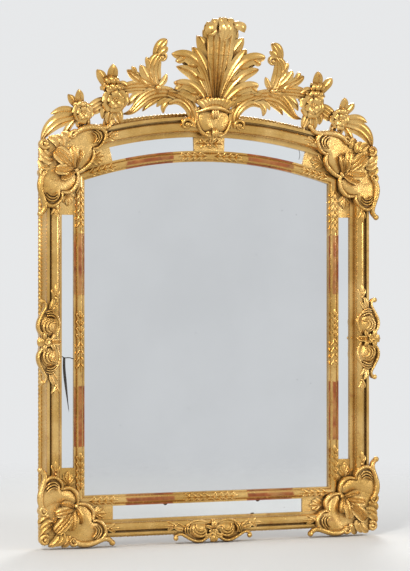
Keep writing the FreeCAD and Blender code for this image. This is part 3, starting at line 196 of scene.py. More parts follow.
def crest_plane(side):
    """The leaning face of the crest, from its foot upwards."""
    def place(p):
        back = CREST_FOOT_Y - p[:, 1] * math.sin(LEAN) - p[:, 2] * math.cos(LEAN)
        up = CREST_FOOT_Z + p[:, 1] * math.cos(LEAN) - p[:, 2] * math.sin(LEAN)
        return np.stack([side * p[:, 0], back, up], 1)

    return place


def console_plane(p):
    """The front of the carcass, from the foot of the crest upwards."""
    return np.stack([p[:, 0], -CARCASS_FRONT - p[:, 2], CREST_FOOT_Z + p[:, 1]], 1)


def corner_plane(level, side):
    """The front of the carcass, inwards from a corner. At the top one arm follows the arch."""
    def place(p):
        x = side * (OUTER_X - p[:, 0])
        if level == "bottom":
            z = OUTER_Z + p[:, 1]
        else:
            ease = 1 - 0.5 * np.clip(0.5 + (p[:, 1] - p[:, 0]) / TOP_SLOPE_FADE, 0, 1)
            z = TOP_CORNER_Z - p[:, 1] + TOP_SLOPE * ease * np.maximum(p[:, 0], 0)
        return np.stack([x, -CARCASS_FRONT - p[:, 2], z], 1)

    return place


def side_plane(side):
    """The front of the carcass, up and outwards from the middle of a side."""
    def place(p):
        x = side * (OUTER_X + p[:, 1])
        return np.stack([x, -CARCASS_FRONT - p[:, 2], SIDE_MIDDLE_Z + p[:, 0]], 1)

    return place


def bottom_plane(p):
    """The front of the carcass, along and outwards from the middle of the bottom.

    The bottom moulding is narrower than the sides, so the inner half is drawn in.
    """
    outward = np.where(p[:, 1] < 0, BOTTOM_DRAWN_IN * p[:, 1], p[:, 1])
    return np.stack([p[:, 0], -CARCASS_FRONT - p[:, 2], OUTER_Z - outward], 1)


def front_plane(p):
    """The front of the carcass, in the part's own x and z."""
    return np.stack([p[:, 0], -CARCASS_FRONT - p[:, 2], p[:, 1]], 1)


# Carving


class Carving:
    """Gathers closed shells, worked in millimetres on a plane of their own, into one piece."""

    def __init__(self, name, place):
        self.name = name
        self.place = place
        self.points = []
        self.faces = []
        self.count = 0

    def loft(self, rings):
        """A closed shell through a row of rings."""
        rings = np.asarray(rings, float)
        rows, around = rings.shape[:2]
        index = self.count + np.arange(rows * around).reshape(rows, around)
        after = np.roll(index, -1, axis=1)
        quads = np.stack([index[:-1], after[:-1], after[1:], index[1:]], -1)
        self.faces += quads.reshape(-1, 4).tolist()
        self.faces += [index[0][::-1].tolist(), index[-1].tolist()]
        self.points.append(self.place(rings.reshape(-1, 3)))
        self.count += rows * around

    def sweep(self, line, half, top, low, across=None):
        """A shell along a line, with heights over it at even places across and a depth under it."""
        run = np.gradient(line, axis=0)
        run /= np.linalg.norm(run, axis=1)[:, None]
        flat = np.cross((0, 0, 1), run) if across is None else np.tile(across, (len(line), 1))
        flat = flat / np.linalg.norm(flat, axis=1)[:, None]
        rise = np.cross(run, flat)
        rise *= np.sign(rise[0, 2])
        places = half[:, None] * np.linspace(-1, 1, top.shape[1])
        upper = line[:, None] + flat[:, None] * places[..., None] + rise[:, None] * top[..., None]
        places = half[:, None] * UNDERSIDE
        lower = line[:, None] + flat[:, None] * places[..., None] - (rise * low[:, None])[:, None]
        self.loft(np.concatenate([upper, lower], axis=1))

    def blade(self, spine, half, thick=8, flutes=2, hollow=0.4, root=0.7, widest=0.5, blunt=0.5,
              low=9, across=None, droop=0.45, count=22):
        """A fluted leaf along a spine. A tuple of half widths is spread along it and has no tip."""
        share = 1 - (1 - np.linspace(0, 1, count)) ** TIP_CROWDING
        line = along(spine, share)
        if isinstance(half, tuple):
            full = np.ones(count)
            half = np.interp(share, np.linspace(0, 1, len(half)), half)
        else:
            full = swell(share, root, widest, blunt)
            half = half * full
        u = np.linspace(-1, 1, max(4 * flutes, 8) + 1)
        form = (1 - droop * u * u) * (1 - hollow * np.abs(np.sin(flutes * np.pi * (u + 1) / 2)))
        depth = thick * (0.35 + 0.65 * full)
        self.sweep(line, half, depth[:, None] * form, low * (0.4 + 0.6 * full), across)

    def ridge(self, path, half, high, low=14, count=40):
        """A rounded rim along a path."""
        share = np.linspace(0, 1, count)
        line = along(path, share)
        halves = half if isinstance(half, tuple) else (half, half)
        half = np.interp(share, np.linspace(0, 1, len(halves)), halves)
        u = np.linspace(-1, 1, 7)
        form = 0.3 + 0.7 * np.abs(np.sin(np.pi * (u + 1) / 2)) ** 0.7
        self.sweep(line, half, high * (half / max(halves))[:, None] * form, np.full(count, low))

    def ball(self, centre, radius, tall=1.0):
        lift = np.radians(np.linspace(-84, 84, BALL_ROWS))
        turn = np.linspace(0, 2 * np.pi, BALL_AROUND, endpoint=False)
        ring = np.stack([np.cos(turn), np.sin(turn)], 1)
        rows = [np.c_[ring * np.cos(a), np.full(BALL_AROUND, tall * np.sin(a))] * radius for a in lift]
        self.loft(np.array(rows) + np.asarray(centre, float))

    def volute(self, centre, radius, start, turns, half, high, low):
        """A rim that winds into a ball."""
        path = spiral(centre, radius, 0.3 * radius, start, turns)[::2]
        self.ridge(path, (half, 0.6 * half), high=high, low=low)
        self.ball((centre[0], centre[1], centre[2] + 0.4 * high), 0.42 * radius, tall=0.8)

    def dome(self, outline, middle, low, top):
        """A boss inside an outline whose points carry the height of its edge."""
        edge = loop(outline, DOME_AROUND)
        middle = np.asarray((*middle, 0.0))
        foot = middle + (edge - middle) * (DOME_FOOT, DOME_FOOT, 0)
        foot[:, 2] = low
        rings = [foot, edge]
        for f in np.linspace(1, DOME_CROWN, DOME_ROWS)[1:]:
            ring = middle + (edge - middle) * f
            ring[:, 2] = edge[:, 2] * f**2 + top * (1 - f**2)
            rings.append(ring)
        self.loft(rings)

    def acanthus(self, spine, half, lobes=2, thick=12, flutes=2, low=11, side=1, blunt=1.0):
        """A leaf with a row of lobes along one edge."""
        self.blade(spine, 0.85 * half, thick=thick, flutes=flutes, hollow=0.45, root=0.45, widest=0.6,
                   blunt=blunt, low=low)
        steps = 40
        line = along(spine, np.linspace(0, 1, steps + 1))
        for share in np.linspace(0.34, 0.8, lobes):
            k = int(steps * share)
            run = line[k + 4] - line[k]
            run = run / np.linalg.norm(run)
            out = np.array((-run[1], run[0], 0.0))
            reach = half * (1.15 - 0.5 * abs(share - 0.5))
            middle = line[k] + reach * (0.5 * run + 0.55 * side * out) + (0, 0, 1)
            tip = line[k] + reach * (1.2 * run + 0.95 * side * out) + (0, 0, 3)
            self.blade((line[k], middle, tip), 0.44 * half, thick=0.9 * thick, blunt=0.8, low=0.8 * low,
                       count=14)

    def flower(self, centre, radius, petals, turn=0.0):
        """Two rows of cupped petals round a beaded eye."""
        x, y, h = centre
        tall = radius / 36
        tiers = (
            (petals, 0.40, 0.0, ((0.1, 0), (0.45, 7), (0.8, 9), (1.0, 2))),
            (petals - 1, 0.27, 8.0, ((0.05, 0), (0.3, 6), (0.5, 8), (0.64, 3))),
        )
        for count, width, rise, stops in tiers:
            for k in range(count):
                a = math.radians(turn + 360 * k / count)
                lift = h + tall * (rise + 3 * (k % 2))
                long = radius * (1 + 0.08 * math.sin(2.6 * k + turn))
                out = (long * math.cos(a), long * math.sin(a))
                spine = [(x + r * out[0], y + r * out[1], lift + tall * z) for r, z in stops]
                self.blade(spine, width * radius, thick=7 * tall, flutes=1, hollow=0.6, root=0.4,
                           widest=0.62, blunt=1.0, low=5 * tall, count=14)
        for k in range(6):
            a = math.pi * k / 3
            spot = (x + 0.17 * radius * math.cos(a), y + 0.17 * radius * math.sin(a), h + 15 * tall)
            self.ball(spot, 0.1 * radius)
        self.ball((x, y, h + 17 * tall), 0.12 * radius)

    def make(self, material, *nodes):
        """The piece of all the shells, in place of the named nodes."""
        mesh = bpy.data.meshes.new(self.name)
        mesh.from_pydata((np.vstack(self.points) * MILLIMETRE).tolist(), [], self.faces)
        work = bmesh.new()
        work.from_mesh(mesh)
        bmesh.ops.recalc_face_normals(work, faces=work.faces)
        work.to_mesh(mesh)
        work.free()
        mesh.shade_smooth()
        mesh.set_sharp_from_angle(angle=SHARP_ANGLE)
        mesh.materials.append(material)
        piece = bpy.data.objects.new(self.name, mesh)
        bpy.context.scene.collection.objects.link(piece)
        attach(piece, "frame")
        if nodes:
            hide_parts(*nodes)
        return piece


# Materials


def fill(tree, made, inputs):
    """Links or sets inputs of a node."""
    for name, value in inputs.items():
        if isinstance(value, bpy.types.NodeSocket):
            tree.links.new(value, made.inputs[name])
        else:
            made.inputs[name].default_value = value


def add_node(tree, kind, inputs=None, **settings):
    """A new node with its settings and inputs."""
    made = tree.nodes.new(kind)
    for name, value in settings.items():
        setattr(made, name, value)
    fill(tree, made, inputs or {})
    return made


class Shader:
    """A material with one main shader, built node by node."""

    def __init__(self, name):
        self.material = bpy.data.materials.new(name)
        self.material.use_nodes = True
        self.tree = self.material.node_tree
        self.main = self.tree.nodes["Principled BSDF"]
        self.place = self.node("ShaderNodeTexCoord").outputs["Object"]

    def node(self, kind, inputs=None, **settings):
        return add_node(self.tree, kind, inputs, **settings)

    def noise(self, scale, detail=3.0, stretch=(1, 1, 1), rough=0.55, shift=0.0):
        inputs = {"Vector": self.place, "Scale": stretch, "Location": (shift, 0, shift)}
        spot = self.node("ShaderNodeMapping", inputs)
        inputs = {"Vector": spot.outputs[0], "Scale": scale, "Detail": detail, "Roughness": rough}
        return self.node("ShaderNodeTexNoise", inputs).outputs[0]

    def cells(self, scale):
        inputs = {"Vector": self.place, "Scale": scale}
        return self.node("ShaderNodeTexVoronoi", inputs).outputs["Distance"]

    def reach(self, value, low, high, to_low=0.0, to_high=1.0):
        inputs = {"Value": value, "From Min": low, "From Max": high, "To Min": to_low, "To Max": to_high}
        return self.node("ShaderNodeMapRange", inputs, interpolation_type="SMOOTHSTEP").outputs[0]

    def math(self, operation, first, second):
        return self.node("ShaderNodeMath", {0: first, 1: second}, operation=operation).outputs[0]

    def blend(self, share, first, second):
        inputs = {0: share}
        for slot, colour in ((6, first), (7, second)):
            inputs[slot] = colour if isinstance(colour, bpy.types.NodeSocket) else (*colour, 1.0)
        return self.node("ShaderNodeMix", inputs, data_type="RGBA").outputs[2]

    def bump(self, height, strength, distance, after=None):
        inputs = {"Height": height, "Strength": strength, "Distance": distance}
        if after is not None:
            inputs["Normal"] = after
        return self.node("ShaderNodeBump", inputs).outputs[0]

    def set(self, **values):
        fill(self.tree, self.main, {name.replace("_", " "): value for name, value in values.items()})


def make_gilt(name, grain=0.0, rough=SATIN, axis=None, spans=()):
    """Worn gold leaf over red bole, with painted shade and some dirt in the hollows, and bare wood
    behind.

    Spans along an axis, in metres, show the bole.
    """
    s = Shader(name)
    patch = s.noise(9, 4)
    fine = s.noise(120, 3)
    gold = s.blend(s.reach(patch, 0.35, 0.68), GOLD_DULL, GOLD_BRIGHT)
    rubbed = s.reach(s.noise(34, 5), 0.60, 0.72, 0.0, 0.55)
    gold = s.blend(rubbed, gold, BOLE_RUBBED)
    # Painted shade, with some dirt: ambient occlusion darkens the gold to a near-black brown in hollows
    # and creases; hollow is 1 in the open and 0 deep inside them
    shade = s.node("ShaderNodeAmbientOcclusion", {"Distance": 0.018}, samples=6).outputs["AO"]
    hollow = s.reach(shade, 0.12, 0.80)
    gold = s.blend(hollow, HOLLOW_SHADE_AND_DIRT, gold)
    metal = s.reach(hollow, 0.0, 1.0, 0.35, 0.86)
    dull = s.reach(fine, 0.3, 0.7, 0.55 * rough, rough)
    normal = s.node("ShaderNodeNewGeometry").outputs["Normal"]
    facing = s.node("ShaderNodeSeparateXYZ", {"Vector": normal}).outputs[1]
    rear = s.reach(facing, 0.35, 0.75)
    lines = s.reach(s.noise(60, 4, (1, 1, 0.12)), 0.35, 0.65)
    gold = s.blend(rear, gold, s.blend(lines, CARVED_DARK, CARVED_LIGHT))
    metal = s.math("MULTIPLY", metal, s.reach(rear, 0.0, 1.0, 1.0, 0.0))
    dull = s.math("ADD", dull, s.reach(rear, 0.0, 1.0, 0.0, 0.4))
    if spans:
        along_axis = s.node("ShaderNodeSeparateXYZ", {"Vector": s.place}).outputs[axis]
        edge = 0.006
        wavy = s.math("ADD", along_axis, s.reach(s.noise(60), 0.0, 1.0, -edge, edge))
        bare = None
        for low, high in spans:
            past_low = s.reach(wavy, low, low + edge)
            before_high = s.reach(wavy, high, high + edge, 1.0, 0.0)
            inside = s.math("MULTIPLY", past_low, before_high)
            bare = inside if bare is None else s.math("MAXIMUM", bare, inside)
        bare = s.math("MULTIPLY", bare, s.reach(facing, -0.97, -0.75, 1.0, 0.0))
        bole = s.blend(s.reach(s.noise(24, 5), 0.3, 0.7), BOLE_DARK, BOLE_LIGHT)
        worn = s.math("MULTIPLY", bare, s.reach(s.noise(18, 5), 0.35, 0.55, 0.6, 1.0))
        gold = s.blend(worn, gold, bole)
        metal = s.math("MULTIPLY", metal, s.reach(bare, 0.0, 1.0, 1.0, 0.3))
    bump = s.bump(fine, 0.25, 0.0008)
    if grain:
        bump = s.bump(s.cells(420), grain, 0.0012, bump)
    s.set(Base_Color=gold, Metallic=metal, Roughness=dull, Normal=bump)
    return s.material


def make_wood(name, light, dark, stretch, stained, shift=0.0):
    """Old wood, with the grain along the axis that is stretched."""
    s = Shader(name)
    grain = s.noise(140, 4, stretch, 0.65, shift)
    wide = s.noise(16, 3, stretch, 0.55, shift)
    wood = s.blend(s.reach(grain, 0.32, 0.68), dark, light)
    wood = s.blend(s.reach(wide, 0.35, 0.7, 0.0, 0.6), wood, dark)
    stain = s.noise(5, 4, GRAIN_EVEN, 0.55, shift)
    wood = s.blend(s.reach(stain, 0.45, 0.75, 0.0, stained), wood, STAIN)
    rough = s.reach(grain, 0.2, 0.8, 0.62, 0.85)
    s.set(Base_Color=wood, Roughness=rough, Normal=s.bump(grain, 0.35, 0.0012))
    return s.material


def make_iron(name):
    """Dark iron with patches of rust."""
    s = Shader(name)
    rust = s.reach(s.noise(90, 5), 0.42, 0.66)
    iron = s.blend(rust, IRON_BARE, IRON_RUST)
    s.set(Base_Color=iron, Metallic=s.reach(rust, 0.0, 1.0, 0.85, 0.2))
    s.set(Roughness=s.reach(rust, 0.0, 1.0, 0.42, 0.8), Normal=s.bump(s.noise(260, 4), 0.4, 0.0006))
    return s.material


def make_mirror(name, tint):
    """Old silvered glass, faintly clouded, with small dark spots."""
    s = Shader(name)
    cloud = s.reach(s.noise(2.2, 4), 0.3, 0.7)
    silver = s.blend(cloud, tuple(0.93 * v for v in tint), tint)
    spots = s.reach(s.cells(26), 0.020, 0.045, 1.0, 0.0)
    spots = s.math("MULTIPLY", spots, s.reach(s.noise(7, 2), 0.50, 0.60))
    silver = s.blend(s.math("MULTIPLY", spots, 0.7), silver, MIRROR_SPOT)
    fog = s.reach(s.noise(5, 5), 0.3, 0.8, 0.03, 0.12)
    s.set(Base_Color=silver, Metallic=1.0, Roughness=fog)
    return s.material


gilt = make_gilt("gilt_carved")
gilt_grained = make_gilt("gilt_grained", grain=0.5)
gilt_burnished = make_gilt("gilt_burnished", rough=BURNISHED)
gilt_bole_side = make_gilt("gilt_bole_side", rough=BURNISHED, axis=2,
                           spans=((0.20, 0.38), (0.65, 0.83)))
gilt_bole_across = make_gilt("gilt_bole_across", rough=BURNISHED, axis=0,
                             spans=((-0.27, -0.12), (0.12, 0.27)))
oak = make_wood("oak_aged", OAK_LIGHT, OAK_DARK, GRAIN_ACROSS, stained=0.7)
oak_upright = make_wood("oak_upright", OAK_LIGHT, OAK_DARK, GRAIN_UPRIGHT, stained=0.7)
deal = make_wood("deal_aged", DEAL_LIGHT, DEAL_DARK, GRAIN_UPRIGHT, stained=0.6)
boards = []
for index, tone in enumerate(BOARD_TONES):
    light = tuple(tone * v for v in DEAL_LIGHT)
    dark = tuple(tone * v for v in DEAL_DARK)
    boards.append(make_wood(f"deal_board_{index + 1}", light, dark, GRAIN_UPRIGHT, stained=0.6,
                            shift=BOARD_SHIFT * index))
iron = make_iron("iron_aged")
silvered = make_mirror("mirror_main", PLATE_SILVER)
crack_dark = make_wood("crack_dark", CRACK_LIGHT, CRACK_DARK, GRAIN_EVEN, stained=0.2)
silvered_strip = make_mirror("mirror_strips", STRIP_SILVER)

# The first name that a node's own name starts with gives its finish
BY_NAME = (
    ("inner_moulding_left", gilt_bole_side),
    ("inner_moulding_right", gilt_bole_side),
    ("inner_moulding", gilt_bole_across),
    ("outer_moulding", gilt_burnished),
    ("corner_panel", gilt_grained),
    ("keystone_panel", gilt_grained),
    ("mirror_plate", silvered),
    ("mirror_strip", silvered_strip),
    ("stile", oak_upright),
    ("rail", oak),
    ("lap_pins", oak),
    ("crest_brace", oak_upright),
    ("backboard_nails", iron),
    *((f"backboard_{index + 1}", board) for index, board in enumerate(boards)),
    ("plate_blocks", deal),
    ("hanger", iron),
    ("brace_screws", iron),
    ("spray_pins", iron),
    ("", gilt),
)
for label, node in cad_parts.items():
    finish = next(material for start, material in BY_NAME if label.startswith(start))
    node.data.materials.clear()
    node.data.materials.append(finish)


# Crest


def make_palmette():
    """The fan of leaves at the middle of the crest."""
    c = Carving("palmette_leaves", crest_plane(1))
    c.blade(((0, 40, 6), (0, 90, 6), (0, 140, 8), (0, 190, 9)), (9, 16, 25, 34, 41), thick=16, flutes=5,
            hollow=0.45, low=14, droop=0.3)
    for side in (1, -1):
        at = mirror(side)
        c.blade(at((12, 40, 4), (40, 108, 4), (78, 158, 5), (122, 182, 7)), (7, 20, 29, 26, 13),
                thick=12, flutes=4, hollow=0.45, low=10, droop=0.35)
        c.blade(at((24, 34, 6), (54, 70, 6), (90, 90, 8), (124, 94, 9)), (7, 15, 19, 16, 8), thick=11,
                flutes=3, hollow=0.45, low=10, droop=0.35)
        c.acanthus(at((13, 42, 8), (33, 106, 8), (62, 156, 9), (104, 184, 13), (150, 186, 12)), 23,
                   lobes=3, thick=13, low=12, side=-side)
        c.blade(at((9, 44, 11), (27, 106, 10), (52, 160, 11), (86, 210, 12)), 18, thick=12, hollow=0.5,
                root=0.4, widest=0.66, blunt=0.8, low=12)
        c.blade(at((18, 40, 10), (46, 90, 9), (86, 134, 12), (132, 150, 12)), 17, thick=12, hollow=0.5,
                root=0.4, widest=0.6, blunt=0.7, low=12)
        c.acanthus(at((24, 36, 11), (54, 74, 10), (92, 98, 13), (136, 101, 13)), 19, side=-side)
        c.blade(at((28, 30, 9), (60, 58, 9), (92, 73, 11), (124, 74, 12)), 16, thick=9, hollow=0.45,
                root=0.4, widest=0.55, blunt=0.8, low=10)
    for k in range(-4, 5):
        foot = 36 - 0.6 * k * k
        spread = 1.6 * k
        x = 7.5 * k
        spine = ((x, foot, 14), (x + 2 * spread, foot + 14, 18), (x + 5 * spread, foot + 27, 21))
        c.blade(spine, 9, thick=7, flutes=1, hollow=-0.2, blunt=0.9, low=8, count=12)
    c.ridge(((-62, 15, 8), (-46, 19, 13), (-24, 29, 18), (0, 33, 20), (24, 29, 18), (46, 19, 13),
             (62, 15, 8)), (4, 6, 9, 6, 4), high=13, low=12)
    c.make(gilt, "crest_palmette")


def make_palmette_tip():
    """The curled end of the palmette, above its glue line."""
    c = Carving("palmette_curl", crest_plane(1))
    across = (1, 0, 0)
    c.blade(((0, 190, 9), (0, 215, 8), (0, 245, 8), (0, 275, 10)), (41, 43, 47, 47), thick=16, flutes=5,
            hollow=0.45, low=13, droop=0.3)
    for x, top in ((-38, 285), (-21, 295), (0, 300), (22, 298), (41, 290)):
        c.blade(((x, 246, 6), (x, top - 18, 8), (x, top - 5, 15), (x, top - 6, 26), (x, top - 16, 34)),
                17, thick=9, hollow=0.3, root=0.9, blunt=1.0, low=8, across=across, droop=0.8)
    for side in (1, -1):
        at = mirror(side)
        c.blade(at((28, 176, 4), (42, 200, 5), (58, 222, 8), (74, 244, 12)), 22, thick=12, hollow=0.45,
                root=0.8, widest=0.4, low=11)
        c.blade(at((30, 215, 4), (42, 240, 6), (54, 262, 9)), 14, thick=10, hollow=0.45, root=0.8,
                widest=0.4, blunt=0.7, low=10)
    c.blade(((2, 290, 30), (3, 281, 42), (3, 262, 44), (0, 233, 36)), 23, thick=7, flutes=3, hollow=0.45,
            root=0.9, widest=0.4, blunt=0.3, low=6, across=across)
    c.blade(((-34, 286, 26), (-42, 280, 38), (-46, 266, 41), (-42, 254, 35)), 19, thick=7, hollow=0.5,
            root=0.9, widest=0.45, blunt=0.9, low=6, across=(1, 0.35, 0))
    c.blade(((36, 286, 26), (46, 284, 36), (57, 277, 38), (67, 262, 33)), 16, thick=5, hollow=0.45,
            root=0.9, widest=0.35, blunt=0.2, low=6, across=(1, 0.5, 0))
    c.ridge(((-54, 262, 32), (-40, 252, 38), (-27, 262, 40), (-30, 274, 38)), (4, 6, 4), high=6, low=6)
    c.make(gilt, "crest_palmette_tip")


def make_scroll(side, name):
    """The scroll at the foot of the crest and the long leaf that runs out from it."""
    c = Carving(f"crest_scroll_leaf_{name}", crest_plane(side))
    c.volute((85, -22, 14), 19, start=200, turns=-1.3, half=7, high=11, low=20)
    c.blade(((68, -29, 14), (62, -6, 10), (65, 16, 6), (77, 37, 5), (97, 53, 5), (122, 63, 5),
             (150, 70, 4)), (11, 14, 15, 14, 10), thick=12, flutes=3, hollow=0.35, low=13, count=32)
    c.blade(((105, 56, 3), (150, 70, 3), (203, 66, 5), (240, 36, 8), (262, 10, 9), (290, 2, 10)), 22,
            thick=10, flutes=4, hollow=0.45, root=0.5, widest=0.42, blunt=0.2, low=11)
    c.blade(((160, 60, 4), (190, 48, 5), (214, 30, 6), (226, 12, 8)), 11, flutes=3, root=0.5, widest=0.4,
            blunt=0.4, low=10)
    c.blade(((72, -8, 8), (80, 16, 8), (98, 36, 8), (122, 46, 8), (146, 38, 8)), (6, 9, 10, 9, 5),
            thick=10, hollow=0.35, low=12, count=28)
    c.blade(((132, 46, 5), (150, 44, 6), (163, 28, 8), (161, 8, 10)), 10, root=0.6, widest=0.4, low=10)
    c.blade(((150, 48, 5), (172, 42, 6), (182, 26, 8)), 8, thick=7, flutes=1, root=0.6, widest=0.4)
    c.make(gilt, f"crest_scroll_{name}")


def make_branch(side, name):
    """The leafy branch above the scroll."""
    c = Carving(f"crest_leaf_branch_{name}", crest_plane(side))
    c.blade(((183, 80, 3), (199, 112, 3), (205, 146, 5), (197, 172, 9), (184, 184, 14)), 25, thick=10,
            flutes=4, hollow=0.42, root=0.5, widest=0.45, blunt=0.9, low=11)
    c.volute((178, 176, 9), 15, start=20, turns=1.2, half=6, high=9, low=12)
    c.blade(((197, 176, 6), (194, 196, 7), (186, 214, 9), (168, 230, 11)), 17, thick=9, flutes=3,
            blunt=0.7, low=10)
    c.blade(((190, 182, 8), (180, 196, 11), (164, 206, 13)), 12, blunt=0.7, low=10)
    c.blade(((200, 110, 4), (214, 126, 5), (226, 144, 8)), 11, root=0.6, blunt=0.8)
    c.blade(((205, 136, 4), (218, 154, 6), (226, 174, 8)), 11, root=0.6, blunt=0.8)
    c.blade(((182, 88, 5), (168, 104, 6), (159, 127, 9)), 10, root=0.6, widest=0.45, blunt=0.4)
    c.acanthus(((158, 64, 2), (192, 86, 3), (230, 102, 4), (260, 118, 6), (284, 134, 9)), 19, thick=9,
               flutes=3, low=10, blunt=0.9)
    c.blade(((180, 84, 3), (212, 106, 4), (232, 128, 7), (243, 150, 10)), 14, thick=9, hollow=0.42,
            root=0.5, widest=0.66, blunt=0.9, low=10)
    c.acanthus(((176, 80, 3), (226, 86, 4), (268, 84, 6), (302, 76, 9)), 23, thick=9, flutes=4, low=10,
               blunt=0.9)
    c.blade(((200, 78, 3), (235, 68, 4), (260, 50, 6), (275, 27, 9)), 14, thick=9, hollow=0.42, root=0.5,
            blunt=0.4, low=10)
    c.ball((184, 86, 14), 8)
    c.make(gilt, f"crest_branch_{name}")


def make_inner_flower(side, name):
    """The flower beside the branch, with a ruffled bud above it and stalks below."""
    c = Carving(f"crest_rose_{name}", crest_plane(side))
    c.blade(((326, 84, 4), (330, 112, 6), (329, 150, 11)), 17, thick=9, hollow=0.5, widest=0.55,
            blunt=0.6)
    c.blade(((340, 80, 2), (358, 106, 5), (377, 132, 10)), 15, thick=9, hollow=0.5, widest=0.6, blunt=0.6)
    for v, reach, waves in ((99, 22, 3), (78, 30, 4)):
        t = np.linspace(-1, 1, 17)
        lift = 10 + 8 * (1 - t**2) + 4 * np.cos(waves * np.pi * t)
        bow = v + 5 * (1 - t**2) + 4 * np.sin(waves * np.pi * t)
        along_x = 331 - 0.25 * (99 - v) + reach * t
        c.ridge(np.stack([along_x, bow, lift], 1), (5, 9, 9, 5), high=10, low=16)
    ground = [(331 + 26 * math.cos(a), 82 + 24 * math.sin(a), 8) for a in np.linspace(0, 5.5, 8)]
    c.dome(ground, (331, 82), low=-8, top=18)
    c.flower((318, 46, 10), 40, petals=7, turn=12)
    c.blade(((312, 30, 6), (303, 4, 8), (294, -26, 10)), 15, thick=9, flutes=3, hollow=0.45, widest=0.45)
    c.blade(((324, 28, 6), (329, 2, 9), (331, -33, 11)), 14, thick=9, flutes=3, hollow=0.45, widest=0.45)
    c.blade(((334, 34, 4), (348, 12, 7), (350, -14, 9)), 12, hollow=0.45, widest=0.45)
    c.blade(((300, 52, 3), (286, 62, 5), (276, 58, 7)), 14, hollow=0.45, widest=0.45, blunt=0.7)
    c.ridge(((318, 22, -2), (316, -18, -2), (317, -42, -3), (318, -58, -4)), (8, 7, 8, 10), high=8, low=8)
    c.ridge(((330, 14, -2), (338, -24, -2), (336, -54, -4)), (7, 6, 8), high=8, low=8)
    c.make(gilt, f"crest_flower_inner_{name}")


def make_outer_flower(side, name):
    """The flower near the end of the crest, with its bud, stalks and end leaves."""
    c = Carving(f"crest_spray_{name}", crest_plane(side))
    c.blade(((338, 40, 1), (358, 32, 4), (380, 18, 6), (398, 10, 6)), 22, thick=9, flutes=4, hollow=0.45,
            root=0.5, blunt=0.9)
    c.blade(((420, 24, 4), (426, 46, 6), (428, 72, 10)), 14, hollow=0.5)
    c.blade(((428, 20, 2), (444, 36, 5), (460, 56, 9)), 12, hollow=0.5, widest=0.55, blunt=0.6)
    t = np.linspace(-1, 1, 15)
    lift = 12 + 7 * (1 - t**2)
    bow = 26 + 5 * (1 - t**2) + 3 * np.sin(10 * t)
    c.ridge(np.stack([421 + 22 * t, bow, lift], 1), (4, 8, 4), high=9)
    c.flower((413, 4, 10), 31, petals=7, turn=20)
    c.blade(((404, -6, 4), (396, -24, 6), (394, -40, 8)), 10, hollow=0.45, widest=0.45, blunt=0.6)
    c.blade(((420, -8, 4), (424, -28, 6), (420, -44, 8)), 10, hollow=0.45, widest=0.45, blunt=0.6)
    c.blade(((430, 2, 3), (460, 9, 6), (488, 6, 8), (510, -3, 9)), 14, root=0.6, blunt=0.3)
    c.blade(((424, -12, 2), (458, -14, 5), (494, -26, 8), (520, -52, 10), (535, -84, 10)), 22, thick=10,
            flutes=3, root=0.5, widest=0.45, blunt=0.3, low=10)
    c.ridge(((408, -10, -2), (406, -40, -3), (408, -70, -4)), (7, 6, 9), high=8, low=8)
    c.ridge(((444, -22, -2), (452, -46, -2), (455, -92, -3)), (5, 5, 6), high=7, low=7)
    c.blade(((428, -10, 2), (447, -32, 5), (461, -54, 7), (470, -76, 8)), 10, root=0.6, blunt=0.4)
    c.make(gilt, f"crest_flower_outer_{name}")


def make_console():
    """The shield under the palmette, with a scrolled rim and a small shell."""
    c = Carving("console_shield", console_plane)
    outline = ((-62, 24, 38), (-32, 33, 44), (0, 36, 46), (32, 33, 44), (62, 24, 38), (55, 0, 42),
               (48, -28, 40), (28, -52, 40), (0, -60, 38), (-28, -52, 40), (-48, -28, 40), (-55, 0, 42))
    c.dome(outline, (0, -8), low=4, top=52)
    for side in (1, -1):
        at = mirror(side)
        c.dome(at((1, -4, 50), (26, 4, 50), (50, 2, 46), (47, -24, 45), (26, -47, 45), (1, -40, 48)),
               (side * 24, -20), low=34, top=52)
        c.ridge(at((66, 22, 36), (58, 0, 42), (52, -22, 44), (40, -46, 44), (18, -60, 45)), (6, 5, 5, 5),
                high=9)
        c.volute((side * 44, 18, 47), 8, start=90, turns=-side * 1.2, half=4, high=5, low=10)
        c.blade(at((4, -50, 48), (16, -54, 52), (28, -50, 48)), 7, thick=7, widest=0.45, blunt=0.7,
                low=14, count=12)
    for k in (-1, 0, 1):
        c.blade(((6 * k, 22, 54), (8 * k, 8, 59), (5 * k, -8, 55)), 5, thick=7, flutes=1, hollow=-0.3,
                root=0.8, widest=0.4, blunt=0.8, low=8, count=12)
    c.blade(((0, -38, 52), (0, -50, 59), (0, -63, 50)), 11, flutes=3, widest=0.4, blunt=0.7, low=16,
            count=14)
    c.make(gilt_grained, "crest_console")


# Corners and cartouches


